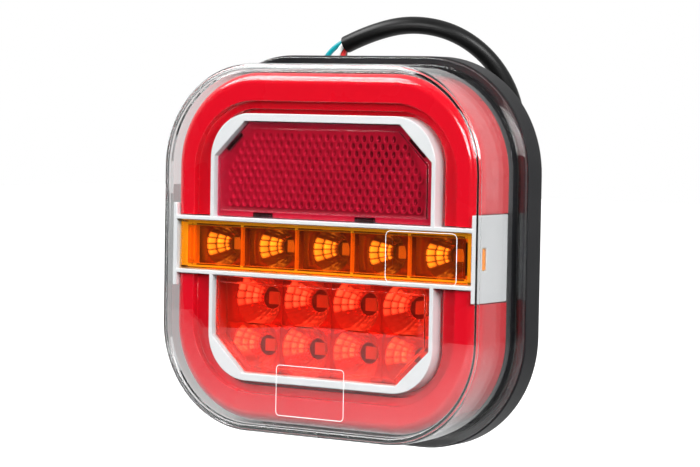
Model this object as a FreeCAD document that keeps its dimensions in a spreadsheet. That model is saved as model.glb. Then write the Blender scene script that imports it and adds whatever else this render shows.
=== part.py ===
"""Square LED trailer tail light, as an assembly of separate named pieces.

Frame: X to the right seen from the front, Z up, Y backwards. The origin is the centre of the
flat back, so the lamp reaches forward to -Y and its studs and cable leave to +Y.
"Depth" below is the distance in front of the back face, which is -Y.
"""

import math
import os

import FreeCAD
import Part
import Sketcher

DOC = FreeCAD.newDocument("TailLight")
SHEET = DOC.addObject("Spreadsheet::Sheet", "Sizes")

SIZES = {
    # black housing
    "base_width": 110.2,
    "base_height": 108.2,
    "base_corner": 32.1,
    "base_depth": 8.0,
    "base_floor": 2.5,
    "base_edge": 1.5,
    "lip_rise": 3.0,
    "lip_wall": 1.6,
    "gasket_height": 2.5,
    # clear outer lens
    "rim_ledge": 2.6,
    "rim_inset": 0.4,
    "flange_thickness": 1.4,
    "lens_front": 29.1,
    "lens_wall": 2.0,
    "lens_edge": 1.9,
    "sliding_gap": 0.15,
    "part_gap": 0.25,
    # white bezel
    "ceiling_gap": 0.2,
    "ring_side": 13.3,
    "ring_top": 12.0,
    "bezel_corner": 13.0,
    "bezel_wall": 1.25,
    "bezel_border": 2.15,
    "bezel_standoff": 1.0,
    "chamfer_across": 10.4,
    "chamfer_up": 10.0,
    "bar_inner": 7.05,
    "bar_thickness": 1.2,
    "tab_height": 23.5,
    "tab_thickness": 1.2,
    "slot_height": 6.0,
    "slot_recess": 2.9,
    "slot_depth": 2.0,
    "latch_width": 4.2,
    "latch_recess": 9.9,
    "latch_thickness": 2.0,
    # red light guides
    "guide_clearance": 0.5,
    "guide_recess": 0.9,
    "trough_drop": 2.2,
    "guide_roof": 3.8,
    "guide_skirt": 1.5,
    "guide_edge": 3.4,
    "guide_gap": 1.3,
    "band_side": 6.6,
    "band_top": 7.95,
    "band_corner": 20.0,
    # amber lens and its reflector
    "amber_recess": 1.4,
    "amber_wall": 1.4,
    "amber_height": 5.0,
    "amber_clearance": 0.15,
    "amber_end_gap": 0.5,
    "cell_count": 5,
    # stop lens, stop reflector and retroreflector
    "glass_recess": 1.0,
    "glass_thickness": 2.0,
    "prism_thickness": 2.8,
    "backing_thickness": 1.5,
    "pad_border": 1.6,
    "pad_rise": 0.6,
    "bowl_air": 1.3,
    "reflector_standoff": 1.2,
    "bowl_mouth": 14.6,
    "bowl_throat": 6.4,
    "indicator_mouth": 12.0,
    "led_row_inset": 6.85,
    "upper_led_inset": 11.35,
    "lower_led_inset": 10.3,
    # circuit board and what it carries
    "board_gap": 0.5,
    "board_thickness": 1.6,
    "led_size": 3.5,
    "led_thickness": 0.9,
    "tail_led_size": 2.8,
    "tail_led_thickness": 0.7,
    "tail_led_inset": 6.0,
    "post_diameter": 7.0,
    "post_inset": 5.1,
    "post_rise": 21.0,
    "screw_diameter": 3.0,
    "screw_length": 8.0,
    "screw_head": 5.6,
    "screw_head_height": 1.8,
    "chip_length": 9.8,
    "chip_breadth": 6.2,
    "chip_height": 1.6,
    "chip_inset": 22.0,
    "second_chip_inset": 18.0,
    "resistor_length": 3.2,
    "resistor_breadth": 1.6,
    "resistor_height": 0.6,
    "resistor_pitch": 6.0,
    "resistor_inset": 12.0,
    "diode_length": 5.2,
    "diode_breadth": 2.6,
    "diode_height": 2.2,
    "diode_pitch": 7.0,
    "diode_inset": 8.0,
    "capacitor_diameter": 6.3,
    "capacitor_height": 5.4,
    "capacitor_side": 14.0,
    "capacitor_inset": 17.0,
    # studs
    "stud_pitch": 45.0,
    "stud_diameter": 5.0,
    "stud_collar": 6.4,
    "stud_head": 9.0,
    "stud_head_height": 3.5,
    "stud_length": 18.0,
    # cable
    "outlet_drop": 18.0,
    "grommet_diameter": 9.0,
    "grommet_tip": 7.0,
    "grommet_flange": 13.0,
    "grommet_flange_height": 1.5,
    "grommet_length": 8.0,
    "potting_diameter": 16.0,
    "potting_height": 2.5,
    "cable_diameter": 5.0,
    "lead_diameter": 1.0,
    "lead_spread": 1.1,
    "solder_across": 5.3,
    "solder_up": 2.6,
    "wire_diameter": 1.5,
    "core_diameter": 0.8,
    "core_length": 6.0,
}

# The free cable's route from the strain relief's tip, in millimetres from that tip.
CABLE_ROUTE = [
    (0.0, 0.0, 0.0), (0.0, 16.0, 0.0), (3.0, 29.0, 7.5), (8.5, 36.5, 19.5),
    (15.0, 36.5, 33.5), (24.0, 31.0, 47.0), (27.5, 24.0, 59.5), (24.0, 17.0, 71.5),
    (15.5, 10.5, 79.5), (3.5, 5.5, 82.0), (-9.0, 2.5, 79.0), (-16.7, 2.2, 75.6),
]

# The four stripped wires' routes, in millimetres from the end of the cable's route.
WIRE_ROUTES = {
    "wire_green": [
        (-0.75, 0.0, 0.9), (-4.1, -0.2, -0.6), (-7.9, -0.4, -5.2), (-9.3, -0.8, -11.6),
        (-8.3, -1.2, -19.1), (-5.7, -1.4, -26.1), (-4.9, -1.6, -33.1), (-6.5, -1.6, -39.6),
    ],
    "wire_white": [
        (-0.3, -1.1, -0.1), (-1.5, -1.2, -1.5), (-2.9, -1.4, -4.4), (-3.7, -1.6, -10.4),
        (-2.9, -1.6, -17.4), (-1.3, -1.8, -24.2), (-0.7, -2.0, -31.0), (-1.9, -2.0, -37.4),
    ],
    "wire_red": [
        (-0.25, 0.05, -1.15), (-1.3, 0.0, -2.8), (-1.4, -0.2, -6.0), (-0.2, -0.4, -11.0),
        (1.5, -0.6, -17.0), (2.1, -0.8, -23.8), (1.3, -1.0, -30.6), (-0.1, -1.0, -37.0),
    ],
    "wire_brown": [
        (-0.3, 1.1, -0.1), (-1.3, 1.4, -1.7), (-1.9, 1.7, -4.8), (-1.1, 1.7, -10.8),
        (1.5, 1.4, -17.2), (4.5, 1.0, -23.4), (5.9, 0.6, -30.2), (4.9, 0.4, -36.8),
    ],
}

# The tail LEDs of one quarter, spread round the ring, as shares of the outermost column and row.
TAIL_LED_SHARES = [(0.157, 1), (0.465, 1), (0.738, 0.93), (0.932, 0.744), (1, 0.336)]


class Size:
    """A number and the spreadsheet expression that gives it, kept together through arithmetic."""

    def __init__(self, value, expression):
        self.value = float(value)
        self.expression = expression

    def _join(self, other, sign, value):
        return Size(value, f"({self.expression} {sign} {as_size(other).expression})")

    def __add__(self, other):
        return self._join(other, "+", self.value + as_size(other).value)

    def __sub__(self, other):
        return self._join(other, "-", self.value - as_size(other).value)

    def __mul__(self, other):
        return self._join(other, "*", self.value * as_size(other).value)

    def __truediv__(self, other):
        return self._join(other, "/", self.value / as_size(other).value)

    def __rsub__(self, other):
        return as_size(other) - self

    def __neg__(self):
        return Size(-self.value, f"(-1 * {self.expression})")

    __radd__ = __add__
    __rmul__ = __mul__


def as_size(number):
    """The number itself if it is a Size already, or a constant Size."""
    if isinstance(number, Size):
        return number
    return Size(number, f"({number:.6f})" if number < 0 else f"{number:.6f}")


def fill_sheet():
    """Writes each driving size into its own cell, as a plain number with an alias."""
    for row, (alias, number) in enumerate(SIZES.items(), start=1):
        SHEET.set(f"A{row}", alias)
        SHEET.set(f"B{row}", str(number))
        SHEET.setAlias(f"B{row}", alias)
    DOC.recompute()


def size(alias):
    """The driving size with this alias."""
    return Size(SHEET.get(alias), f"Sizes.{alias}")


def bind(obj, prop, number):
    """Sets a property to a Size and ties it to the spreadsheet."""
    obj.setExpression(prop, as_size(number).expression)


def place(obj, x=0, y=0, z=0):
    """Ties an object's position to the spreadsheet."""
    for axis, number in zip("xyz", (x, y, z)):
        bind(obj, f".Placement.Base.{axis}", number)


# ---------------------------------------------------------------- sketches and bodies


def new_body(label):
    """An empty body whose label is the name of its file."""
    body = DOC.addObject("PartDesign::Body", label)
    body.Label = label
    return body


def new_sketch(body, depth):
    """A sketch at a depth, parallel to the body's XZ plane, whose normal points to -Y."""
    plane = next(f for f in body.Origin.OriginFeatures if f.Role == "XZ_Plane")
    sketch = body.newObject("Sketcher::SketchObject", "Outline")
    sketch.AttachmentSupport = [(plane, "")]
    sketch.MapMode = "FlatFace"
    bind(sketch, ".AttachmentOffset.Base.z", depth)
    return sketch


def fix_coordinate(sketch, geo, point, axis, number):
    """Dimensions one coordinate of a point from the sketch's origin."""
    kind, line = ("DistanceX", -2) if axis == "x" else ("DistanceY", -1)
    number = as_size(number)
    if abs(number.value) < 1e-9:
        sketch.addConstraint(Sketcher.Constraint("PointOnObject", geo, point, line))
        return
    ends = (-1, 1, geo, point) if number.value > 0 else (geo, point, -1, 1)
    number = number if number.value > 0 else -number
    index = sketch.addConstraint(Sketcher.Constraint(kind, *ends, number.value))
    sketch.setExpression(f"Constraints[{index}]", number.expression)


def towards(start, end):
    """The unit step from one corner to the next along X or Z, as whole numbers."""
    dx = end[0].value - start[0].value
    dz = end[1].value - start[1].value
    return (int(math.copysign(1, dx)), 0) if abs(dx) > abs(dz) else (0, int(math.copysign(1, dz)))


def outline(sketch, corners):
    """Draws a closed outline, anticlockwise or clockwise, fully dimensioned.

    A corner is (x, z), or (x, z, radius) where two square sides meet in a tangent arc.
    """
    corners = [tuple(as_size(n) for n in corner) for corner in corners]
    stations = []
    for i, corner in enumerate(corners):
        if len(corner) == 2:
            stations.append((corner, None))
            continue
        x, z, radius = corner
        ax, az = towards(corner, corners[i - 1])
        bx, bz = towards(corner, corners[(i + 1) % len(corners)])
        start = (x + radius * ax, z + radius * az)
        end = (x + radius * bx, z + radius * bz)
        centre = (x + radius * (ax + bx), z + radius * (az + bz))
        left_turn = -ax * bz + az * bx > 0
        stations.append((start, (centre, radius, end, left_turn)))
    pieces = []
    for i, (start, arc) in enumerate(stations):
        leave = arc[2] if arc else start
        arrive = stations[(i + 1) % len(stations)][0]
        if arc:
            pieces.append(add_arc(sketch, start, *arc))
        a = FreeCAD.Vector(leave[0].value, leave[1].value, 0)
        b = FreeCAD.Vector(arrive[0].value, arrive[1].value, 0)
        line = sketch.addGeometry(Part.LineSegment(a, b), False)
        fix_coordinate(sketch, line, 1, "x", leave[0])
        fix_coordinate(sketch, line, 1, "y", leave[1])
        if stations[(i + 1) % len(stations)][1]:
            fix_coordinate(sketch, line, 2, "x", arrive[0])
            fix_coordinate(sketch, line, 2, "y", arrive[1])
        pieces.append((line, 1, 2))
    for (first, _, end), (second, start, _) in zip(pieces, pieces[1:] + pieces[:1]):
        sketch.addConstraint(Sketcher.Constraint("Coincident", first, end, second, start))


def add_arc(sketch, start, centre, radius, end, left_turn):
    """Adds the arc of a rounded corner; gives its index and its first and last points' numbers."""
    first, last = (start, end) if left_turn else (end, start)
    angles = [
        math.atan2(p[1].value - centre[1].value, p[0].value - centre[0].value)
        for p in (first, last)
    ]
    if angles[1] < angles[0]:
        angles[1] += 2 * math.pi
    middle = FreeCAD.Vector(centre[0].value, centre[1].value, 0)
    circle = Part.Circle(middle, FreeCAD.Vector(0, 0, 1), radius.value)
    geo = sketch.addGeometry(Part.ArcOfCircle(circle, *angles), False)
    fix_coordinate(sketch, geo, 3, "x", centre[0])
    return (geo, 1, 2) if left_turn else (geo, 2, 1)


def rectangle(sketch, width, height, radius):
    """A rounded rectangle centred on the sketch's origin."""
    x = width / 2
    z = height / 2
    outline(sketch, [(x, z, radius), (-x, z, radius), (-x, -z, radius), (x, -z, radius)])


def rounded(width, height, radius):
    """A drawing function for a centred rounded rectangle."""

    def draw(sketch):
        rectangle(sketch, width, height, radius)

    return draw


def shape(corners):
    """A drawing function for a closed outline."""

    def draw(sketch):
        outline(sketch, corners)

    return draw


def block(x_start, x_end, z_start, z_end):
    """A drawing function for a square-cornered rectangle between two X and two Z positions."""
    return shape([(x_end, z_end), (x_start, z_end), (x_start, z_start), (x_end, z_start)])


def disc(sketch, diameter, x=0, z=0):
    """A circle with its centre dimensioned from the origin."""
    x = as_size(x)
    z = as_size(z)
    middle = FreeCAD.Vector(x.value, z.value, 0)
    circle = Part.Circle(middle, FreeCAD.Vector(0, 0, 1), diameter.value / 2)
    geo = sketch.addGeometry(circle, False)
    fix_coordinate(sketch, geo, 3, "x", x)
    fix_coordinate(sketch, geo, 3, "y", z)
    index = sketch.addConstraint(Sketcher.Constraint("Diameter", geo, diameter.value))
    sketch.setExpression(f"Constraints[{index}]", diameter.expression)


def extrude(body, kind, name, depth, length, draw):
    """A pad that grows forward from a depth, or a pocket that cuts forward from it."""
    sketch = new_sketch(body, depth)
    draw(sketch)
    feature = body.newObject(f"PartDesign::{kind}", name)
    feature.Profile = sketch
    feature.Reversed = kind == "Pocket"
    bind(feature, "Length", length)
    return feature


def pad(body, name, back, front, draw):
    """Material between two depths."""
    return extrude(body, "Pad", name, back, as_size(front) - back, draw)


def pocket(body, name, back, front, draw):
    """A cut between two depths. Its volume is checked, because a missed cut gives no error."""
    DOC.recompute()
    before = body.Shape.Volume
    feature = extrude(body, "Pocket", name, back, as_size(front) - back, draw)
    DOC.recompute()
    if body.Shape.Volume >= before - 1e-6:
        raise ValueError(f"{body.Label}: {name} cuts nothing")
    return feature


def round_edges(body, name, radius, wanted):
    """Rounds the edges of the body's tip for which wanted(edge) is true."""
    DOC.recompute()
    tip = body.Tip
    names = [f"Edge{i}" for i, edge in enumerate(tip.Shape.Edges, start=1) if wanted(edge)]
    if not names:
        raise ValueError(f"{body.Label}: {name} finds no edge")
    feature = body.newObject("PartDesign::Fillet", name)
    feature.Base = (tip, names)
    bind(feature, "Radius", radius)
    return feature


def at_depth(depth):
    """A test for edges that lie in the plane at a depth."""
    y = -as_size(depth).value

    def wanted(edge):
        box = edge.BoundBox
        return abs(box.YMin - y) < 1e-4 and abs(box.YMax - y) < 1e-4

    return wanted


# ---------------------------------------------------------------- primitives


def new_box(name, lengths, corner):
    """A Part box with its sizes and lowest corner tied to the spreadsheet."""
    box = DOC.addObject("Part::Box", name)
    for prop, length in zip(("Length", "Width", "Height"), lengths):
        bind(box, prop, length)
    place(box, *corner)
    return box


def round_bar(name, diameter, length, x, y, z, tip=None):
    """A cylinder or cone along +Y from (x, y, z), with its diameter at the far end if it tapers."""
    if tip is None:
        bar = DOC.addObject("Part::Cylinder", name)
        bind(bar, "Radius", diameter / 2)
    else:
        bar = DOC.addObject("Part::Cone", name)
        bind(bar, "Radius1", diameter / 2)
        bind(bar, "Radius2", tip / 2)
    bind(bar, "Height", length)
    bar.Placement.Rotation = FreeCAD.Rotation(FreeCAD.Vector(1, 0, 0), -90)
    place(bar, x, y, z)
    return bar


def cut(name, base, tool):
    """One shape less another."""
    feature = DOC.addObject("Part::Cut", name)
    feature.Base = base
    feature.Tool = tool
    return feature


def joined(name, shapes):
    """Several shapes as one."""
    feature = DOC.addObject("Part::MultiFuse", name)
    feature.Shapes = shapes
    return feature


def group(label, members):
    """Separate solids that share one node."""
    feature = DOC.addObject("Part::Compound", label)
    feature.Label = label
    feature.Links = members
    return feature


def labelled(feature, label):
    """Gives a sub-part the name of its file."""
    feature.Label = label
    return feature


# ---------------------------------------------------------------- cords


def rounded_path(points):
    """A wire of straight runs joined by tangent arcs, with its length and its radii."""
    edges = []
    radii = []
    here = points[0]
    for before, knot, after in zip(points, points[1:], points[2:]):
        first = (knot - before).normalize()
        second = (after - knot).normalize()
        half_turn = first.getAngle(second) / 2
        reach = 0.45 * min((knot - before).Length, (after - knot).Length)
        radii.append(reach / math.tan(half_turn))
        start = knot - first * reach
        end = knot + second * reach
        inward = (second - first).normalize()
        middle = knot + inward * (radii[-1] / math.cos(half_turn) - radii[-1])
        edges.append(Part.LineSegment(here, start).toShape())
        edges.append(Part.Arc(start, middle, end).toShape())
        here = end
    edges.append(Part.LineSegment(here, points[-1]).toShape())
    return Part.Wire(edges), radii


def tube(label, points, diameter):
    """A round cord along a route, as one solid whose volume matches its section and length."""
    path, radii = rounded_path(points)
    heading = (points[1] - points[0]).normalize()
    rim = Part.Wire(Part.makeCircle(diameter / 2, points[0], heading))
    solid = path.makePipeShell([rim], True, False)
    expected = math.pi * diameter**2 / 4 * path.Length
    if abs(solid.Volume - expected) > 0.01 * expected:
        raise ValueError(f"{label}: volume {solid.Volume:.2f}, expected {expected:.2f}")
    print(f"{label}: length {path.Length:.1f}, radii", " ".join(f"{r:.1f}" for r in radii))
    feature = DOC.addObject("Part::Feature", label)
    feature.Label = label
    feature.Shape = Part.Solid(solid)
    return feature


# ---------------------------------------------------------------- derived sizes

fill_sheet()

lens_width = size("base_width") - 2 * size("rim_ledge")
lens_height = size("base_height") - 2 * size("rim_ledge")
lens_corner = size("base_corner") - size("rim_ledge")
lens_inner_width = lens_width - 2 * size("lens_wall")
lens_inner_height = lens_height - 2 * size("lens_wall")
lens_inner_corner = lens_corner - size("lens_wall")
lens_ceiling = size("lens_front") - size("lens_wall")
lens_foot = size("base_floor") + size("gasket_height")
channel_width = lens_width + 2 * size("sliding_gap")
channel_height = lens_height + 2 * size("sliding_gap")
channel_corner = lens_corner + size("sliding_gap")
lip_depth = size("base_depth") + size("lip_rise")
lip_width = lens_inner_width - 4 * size("sliding_gap")
lip_height = lens_inner_height - 4 * size("sliding_gap")
lip_corner = lens_inner_corner - 2 * size("sliding_gap")
cavity_width = lip_width - 2 * size("lip_wall")
cavity_height = lip_height - 2 * size("lip_wall")
cavity_corner = lip_corner - size("lip_wall")

board_front = lip_depth
board_back = board_front - size("board_thickness")
board_width = cavity_width - 2 * size("board_gap")
board_height = cavity_height - 2 * size("board_gap")
board_corner = cavity_corner - size("board_gap")

bezel_front = lens_ceiling - size("ceiling_gap")
bezel_back = board_front + size("bezel_standoff")
bezel_width = lens_inner_width - 2 * size("ring_side")
bezel_height = lens_inner_height - 2 * size("ring_top")
window_x = bezel_width / 2 - size("bezel_wall")
window_z = bezel_height / 2 - size("bezel_border")
bar_outer = size("bar_inner") + size("bar_thickness")
tab_edge = size("tab_height") / 2
slot_front = bezel_front - size("slot_recess")
slot_back = slot_front - size("slot_depth")

guide_front = bezel_front - size("guide_recess")
guide_width = lens_inner_width - 2 * size("guide_clearance")
guide_height = lens_inner_height - 2 * size("guide_clearance")
guide_corner = lens_inner_corner - size("guide_clearance")
guide_inner_x = bezel_width / 2 + size("guide_gap")
guide_inner_z = bezel_height / 2 + size("guide_gap")
guide_inner_corner = size("bezel_corner") + size("guide_gap")
guide_end = bar_outer + size("part_gap")

glass_front = bezel_front - size("glass_recess")
prism_back = glass_front - size("prism_thickness")
bowl_front = glass_front - size("glass_thickness") - size("bowl_air")
reflector_back = board_front + size("reflector_standoff")
amber_front = bezel_front - size("amber_recess")
amber_back = amber_front - size("amber_height")
amber_x = guide_width / 2 - size("tab_thickness") - size("amber_end_gap")
amber_z = size("bar_inner") - size("amber_clearance")
trough_x = amber_x - size("amber_wall") - size("part_gap")
trough_front = amber_back - size("part_gap")

cable_inner_depth = size("base_floor") + size("grommet_flange_height") + size("potting_height")
outlet_z = -size("outlet_drop")


# ---------------------------------------------------------------- housing and lens


def housing_base():
    """Black tray: floor, outer wall, inner lip, screw posts and the holes through the floor."""
    body = new_body("housing_base")
    floor = size("base_floor")
    rim = size("base_depth")
    pad(body, "Tray", 0, rim,
        rounded(size("base_width"), size("base_height"), size("base_corner")))
    round_edges(body, "RearEdge", size("base_edge"), at_depth(0))
    pocket(body, "Inside", floor, rim, rounded(channel_width, channel_height, channel_corner))

    def lip_ring(sketch):
        rectangle(sketch, lip_width, lip_height, lip_corner)
        rectangle(sketch, cavity_width, cavity_height, cavity_corner)

    def posts(sketch):
        for x, z in post_places():
            disc(sketch, size("post_diameter"), x, z)

    def pilot_holes(sketch):
        for x, z in post_places():
            disc(sketch, size("screw_diameter"), x, z)

    def rear_holes(sketch):
        for side in (-1, 1):
            disc(sketch, size("stud_collar"), side * size("stud_pitch") / 2, 0)
        disc(sketch, size("grommet_diameter"), 0, outlet_z)

    pad(body, "Lip", floor, lip_depth, lip_ring)
    pad(body, "Posts", floor, board_back, posts)
    pocket(body, "PilotHoles", board_front - size("screw_length"), board_back, pilot_holes)
    pocket(body, "RearHoles", 0, floor, rear_holes)
    return body


def post_places():
    """Where the circuit board is screwed down."""
    return [
        (side * (board_width / 2 - size("post_inset")), level * size("post_rise"))
        for level in (-1, 1)
        for side in (-1, 1)
    ]


def perimeter_gasket():
    """Rubber ring in the channel, under the clear lens's foot."""
    body = new_body("perimeter_gasket")

    def ring(sketch):
        rectangle(sketch, channel_width, channel_height, channel_corner)
        rectangle(sketch, lip_width, lip_height, lip_corner)

    pad(body, "Ring", size("base_floor"), lens_foot, ring)
    return body


def clear_lens():
    """Clear outer lens: front, side wall, and the flange that covers the housing's rim."""
    body = new_body("clear_lens")
    reach = size("rim_ledge") - size("rim_inset")
    flange_back = size("base_depth")
    pad(body, "Block", lens_foot, size("lens_front"),
        rounded(lens_width, lens_height, lens_corner))
    round_edges(body, "FrontEdge", size("lens_edge"), at_depth(size("lens_front")))
    pad(body, "Flange", flange_back, flange_back + size("flange_thickness"),
        rounded(lens_width + 2 * reach, lens_height + 2 * reach, lens_corner + reach))
    pocket(body, "Hollow", lens_foot, lens_ceiling,
           rounded(lens_inner_width, lens_inner_height, lens_inner_corner))
    return body


# ---------------------------------------------------------------- bezel


def window(level, shrink):
    """The corners of a window, chamfered on the outside; level is 1 above, -1 below."""
    x = window_x - shrink
    low = level * (bar_outer + shrink)
    high = level * (window_z - shrink)
    shoulder = high - level * size("chamfer_up")
    top = x - size("chamfer_across")
    return [(x, low), (x, shoulder), (top, high), (-top, high), (-x, shoulder), (-x, low)]


def bezel_frame():
    """White frame: ring with two chamfered windows, two cross bars and a tab at each side."""
    body = new_body("bezel_frame")
    bar = size("bar_inner")
    outer = guide_width / 2
    inner = outer - size("tab_thickness")
    root = window_x + size("bezel_wall") / 2

    def ring(sketch):
        rectangle(sketch, bezel_width, bezel_height, size("bezel_corner"))
        for level in (-1, 1):
            outline(sketch, window(level, 0))
        outline(sketch, [(window_x, bar), (-window_x, bar), (-window_x, -bar), (window_x, -bar)])

    pad(body, "Ring", bezel_back, bezel_front, ring)
    for side in (-1, 1):
        for level in (-1, 1):
            pad(body, "Arm", bezel_back, bezel_front,
                block(side * root, side * outer, level * bar, level * bar_outer))
        pad(body, "Tab", lip_depth, bezel_front,
            block(side * inner, side * outer, -tab_edge, tab_edge))
    pocket(body, "StripGap", bezel_back, bezel_front, block(-inner, inner, -bar, bar))
    slot = size("slot_height") / 2
    for side in (-1, 1):
        pocket(body, "ClipSlot", slot_back, slot_front,
               block(side * (inner - 1), side * (outer + 1), -slot, slot))
    latch = size("latch_width") / 2
    latch_front = bezel_front - size("latch_recess")
    latch_root = bezel_height / 2 - size("bezel_wall") / 2
    latch_tip = guide_inner_z - size("part_gap")
    for level in (-1, 1):
        pad(body, "Latch", latch_front - size("latch_thickness"), latch_front,
            block(-latch, latch, level * latch_root, level * latch_tip))
    return body


# ---------------------------------------------------------------- light guides


def tail_guide(label, level):
    """One U-shaped red half: skirt, rounded outer edge, raised band and lower trough."""
    body = new_body(label)
    wall = size("guide_skirt")
    shelf = guide_width / 2 - size("tab_thickness") - size("part_gap")
    foot = tab_edge + size("part_gap")
    front = guide_front
    pad(body, "Block", lip_depth, front, shape(guide_ring(level, 0, foot, shelf)))
    round_edges(body, "OuterEdge", size("guide_edge"), outer_rim(level))
    band_x = guide_width / 2 - size("band_side")
    band_z = guide_height / 2 - size("band_top")
    corner = size("band_corner")
    pocket(body, "Trough", front - size("trough_drop"), front, shape([
        (band_x, level * bar_outer), (band_x, level * band_z, corner),
        (-band_x, level * band_z, corner), (-band_x, level * bar_outer),
    ]))
    pocket(body, "Cavity", lip_depth, front - size("guide_roof"),
           shape(guide_ring(level, wall, foot, shelf)))
    edge = guide_inner_x + 2 * wall
    top = guide_inner_z + 2 * wall
    pocket(body, "BackRelief", lip_depth, lip_depth + wall,
           block(-edge, edge, level * bar_outer, level * top))
    return body


def guide_ring(level, wall, foot, shelf):
    """The corners of a guide's U, or of the hollow that leaves a wall all round it."""
    x = guide_width / 2 - wall
    z = guide_height / 2 - wall
    outer_corner = guide_corner - wall
    inner_x = guide_inner_x + wall
    inner_z = guide_inner_z + wall
    inner_corner = guide_inner_corner + wall
    near = level * (foot + wall)
    far = level * (guide_end + wall)
    step = shelf - wall
    return [
        (x, near), (x, level * z, outer_corner), (-x, level * z, outer_corner), (-x, near),
        (-step, near), (-step, far), (-inner_x, far),
        (-inner_x, level * inner_z, inner_corner), (inner_x, level * inner_z, inner_corner),
        (inner_x, far), (step, far), (step, near),
    ]


def outer_rim(level):
    """A test for the front edges on a guide's outside, from one end round to the other."""
    x = guide_width.value / 2
    z = guide_height.value / 2
    at_front = at_depth(guide_front)

    def wanted(edge):
        middle = edge.BoundBox.Center
        on_side = abs(abs(middle.x) - x) < 1e-3
        on_top = abs(middle.z - level * z) < 1e-3
        on_corner = edge.Curve.TypeId == "Part::GeomCircle" and (
            abs(edge.Curve.Radius - guide_corner.value) < 1e-3)
        return at_front(edge) and (on_side or on_top or on_corner)

    return wanted


# ---------------------------------------------------------------- window pieces


def window_plate(label, level, back, front, shrink):
    """A plate that fills a window, with a raised pad inside a lower border."""
    body = new_body(label)
    step = front - size("pad_rise")
    pad(body, "Plate", back, step, shape(window(level, shrink)))
    pad(body, "Pad", step, front, shape(window(level, shrink + size("pad_border"))))
    return body


def retro_reflector():
    """Red prismatic reflector in the upper window."""
    return window_plate("retro_reflector", 1, prism_back, glass_front, size("part_gap"))


def retro_backing():
    """Plate that seals the back of the prisms."""
    body = new_body("retro_backing")
    pad(body, "Plate", prism_back - size("backing_thickness"), prism_back,
        shape(window(1, size("part_gap"))))
    return body


def stop_lens():
    """Red transparent lens in the lower window."""
    back = glass_front - size("glass_thickness")
    return window_plate("stop_lens", -1, back, glass_front, size("part_gap"))


def stop_led_places():
    """Centres of the stop LEDs: two rows of four."""
    rows = (
        (bar_outer + size("led_row_inset"), window_x - size("upper_led_inset")),
        (window_z - size("led_row_inset"), window_x - size("lower_led_inset")),
    )
    return [
        (share * outermost, -level)
        for level, outermost in rows
        for share in (-1, -1 / 3, 1 / 3, 1)
    ]


def indicator_led_places():
    """Centres of the indicator LEDs: one row of five."""
    count = int(size("cell_count").value)
    pitch = 2 * trough_x / size("cell_count")
    return [((i - (count - 1) / 2) * pitch, 0) for i in range(count)]


def bowls(name, places, mouth, back, front):
    """One cone per LED, wide at the front, as a cutting tool that runs past both faces."""
    slope = (mouth - size("bowl_throat")) / (front - back)
    tools = []
    for x, z in places:
        tools.append(round_bar(
            name, mouth + slope, front - back + 2, x, -(front + 1), z,
            tip=size("bowl_throat") - slope))
    return joined(f"{name}Tools", tools)


def stop_reflector():
    """Metallised block with one bowl per stop LED."""
    body = new_body("StopReflectorBlock")
    pad(body, "Block", reflector_back, bowl_front, shape(window(-1, size("part_gap"))))
    tools = bowls("StopBowl", stop_led_places(), size("bowl_mouth"), reflector_back, bowl_front)
    return labelled(cut("StopReflector", body, tools), "stop_reflector")


def indicator_reflector():
    """Metallised trough with one bowl per indicator LED."""
    body = new_body("IndicatorReflectorBlock")
    z = size("bar_inner") - size("part_gap")
    pad(body, "Block", reflector_back, trough_front, block(-trough_x, trough_x, -z, z))
    tools = bowls("IndicatorBowl", indicator_led_places(), size("indicator_mouth"),
                  reflector_back, trough_front)
    return labelled(cut("IndicatorReflector", body, tools), "indicator_reflector")


def indicator_lens():
    """Amber strip: front wall with returns above and below, and a clip block at each end."""
    body = new_body("indicator_lens")
    wall = size("amber_wall")
    clearance = size("amber_clearance")
    pad(body, "Strip", amber_back, amber_front, block(-amber_x, amber_x, -amber_z, amber_z))
    pocket(body, "Channel", amber_back, amber_front - wall,
           block(wall - amber_x, amber_x - wall, wall - amber_z, amber_z - wall))
    tongue_z = size("slot_height") / 2 - clearance
    tongue_x = guide_width / 2 - clearance
    for side in (-1, 1):
        pad(body, "Tongue", slot_back + clearance, slot_front - clearance,
            block(side * (amber_x - wall), side * tongue_x, -tongue_z, tongue_z))
    return body


# ---------------------------------------------------------------- circuit board


def circuit_board():
    """Board with four screw holes."""
    body = new_body("circuit_board")

    def plate(sketch):
        rectangle(sketch, board_width, board_height, board_corner)
        for x, z in post_places():
            disc(sketch, size("screw_diameter") + 2 * size("sliding_gap"), x, z)

    pad(body, "Plate", board_back, board_front, plate)
    return body


def on_board(label, places, length, breadth, height, behind=False):
    """Flat rectangular parts on the board, in front of it or behind it."""
    y = -board_back if behind else -(board_front + height)
    boxes = [
        new_box(f"{label}_piece", (length, height, breadth), (x - length / 2, y, z - breadth / 2))
        for x, z in places
    ]
    return group(label, boxes)


def tail_led_places():
    """Centres of the tail LEDs, behind the middle of the red guides."""
    x = guide_width / 2 - size("tail_led_inset")
    z = guide_height / 2 - size("tail_led_inset")
    return [
        (side * across * x, level * up * z)
        for level in (-1, 1)
        for side in (-1, 1)
        for across, up in TAIL_LED_SHARES
    ]


def board_screws():
    """Four self-tapping screws that hold the board to its posts."""
    screws = []
    for x, z in post_places():
        head = round_bar("Head", size("screw_head"), size("screw_head_height"), x,
                         -(board_front + size("screw_head_height")), z)
        shank = round_bar("Shank", size("screw_diameter"), size("screw_length"), x,
                          -board_front, z)
        screws.append(joined("Screw", [head, shank]))
    return group("board_screws", screws)


def capacitor():
    """Round can that stands behind the board."""
    can = round_bar("Can", size("capacitor_diameter"), size("capacitor_height"),
                    -size("capacitor_side"), -board_back,
                    size("capacitor_inset") - board_height / 2)
    return labelled(can, "capacitor")


# ---------------------------------------------------------------- studs


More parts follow.
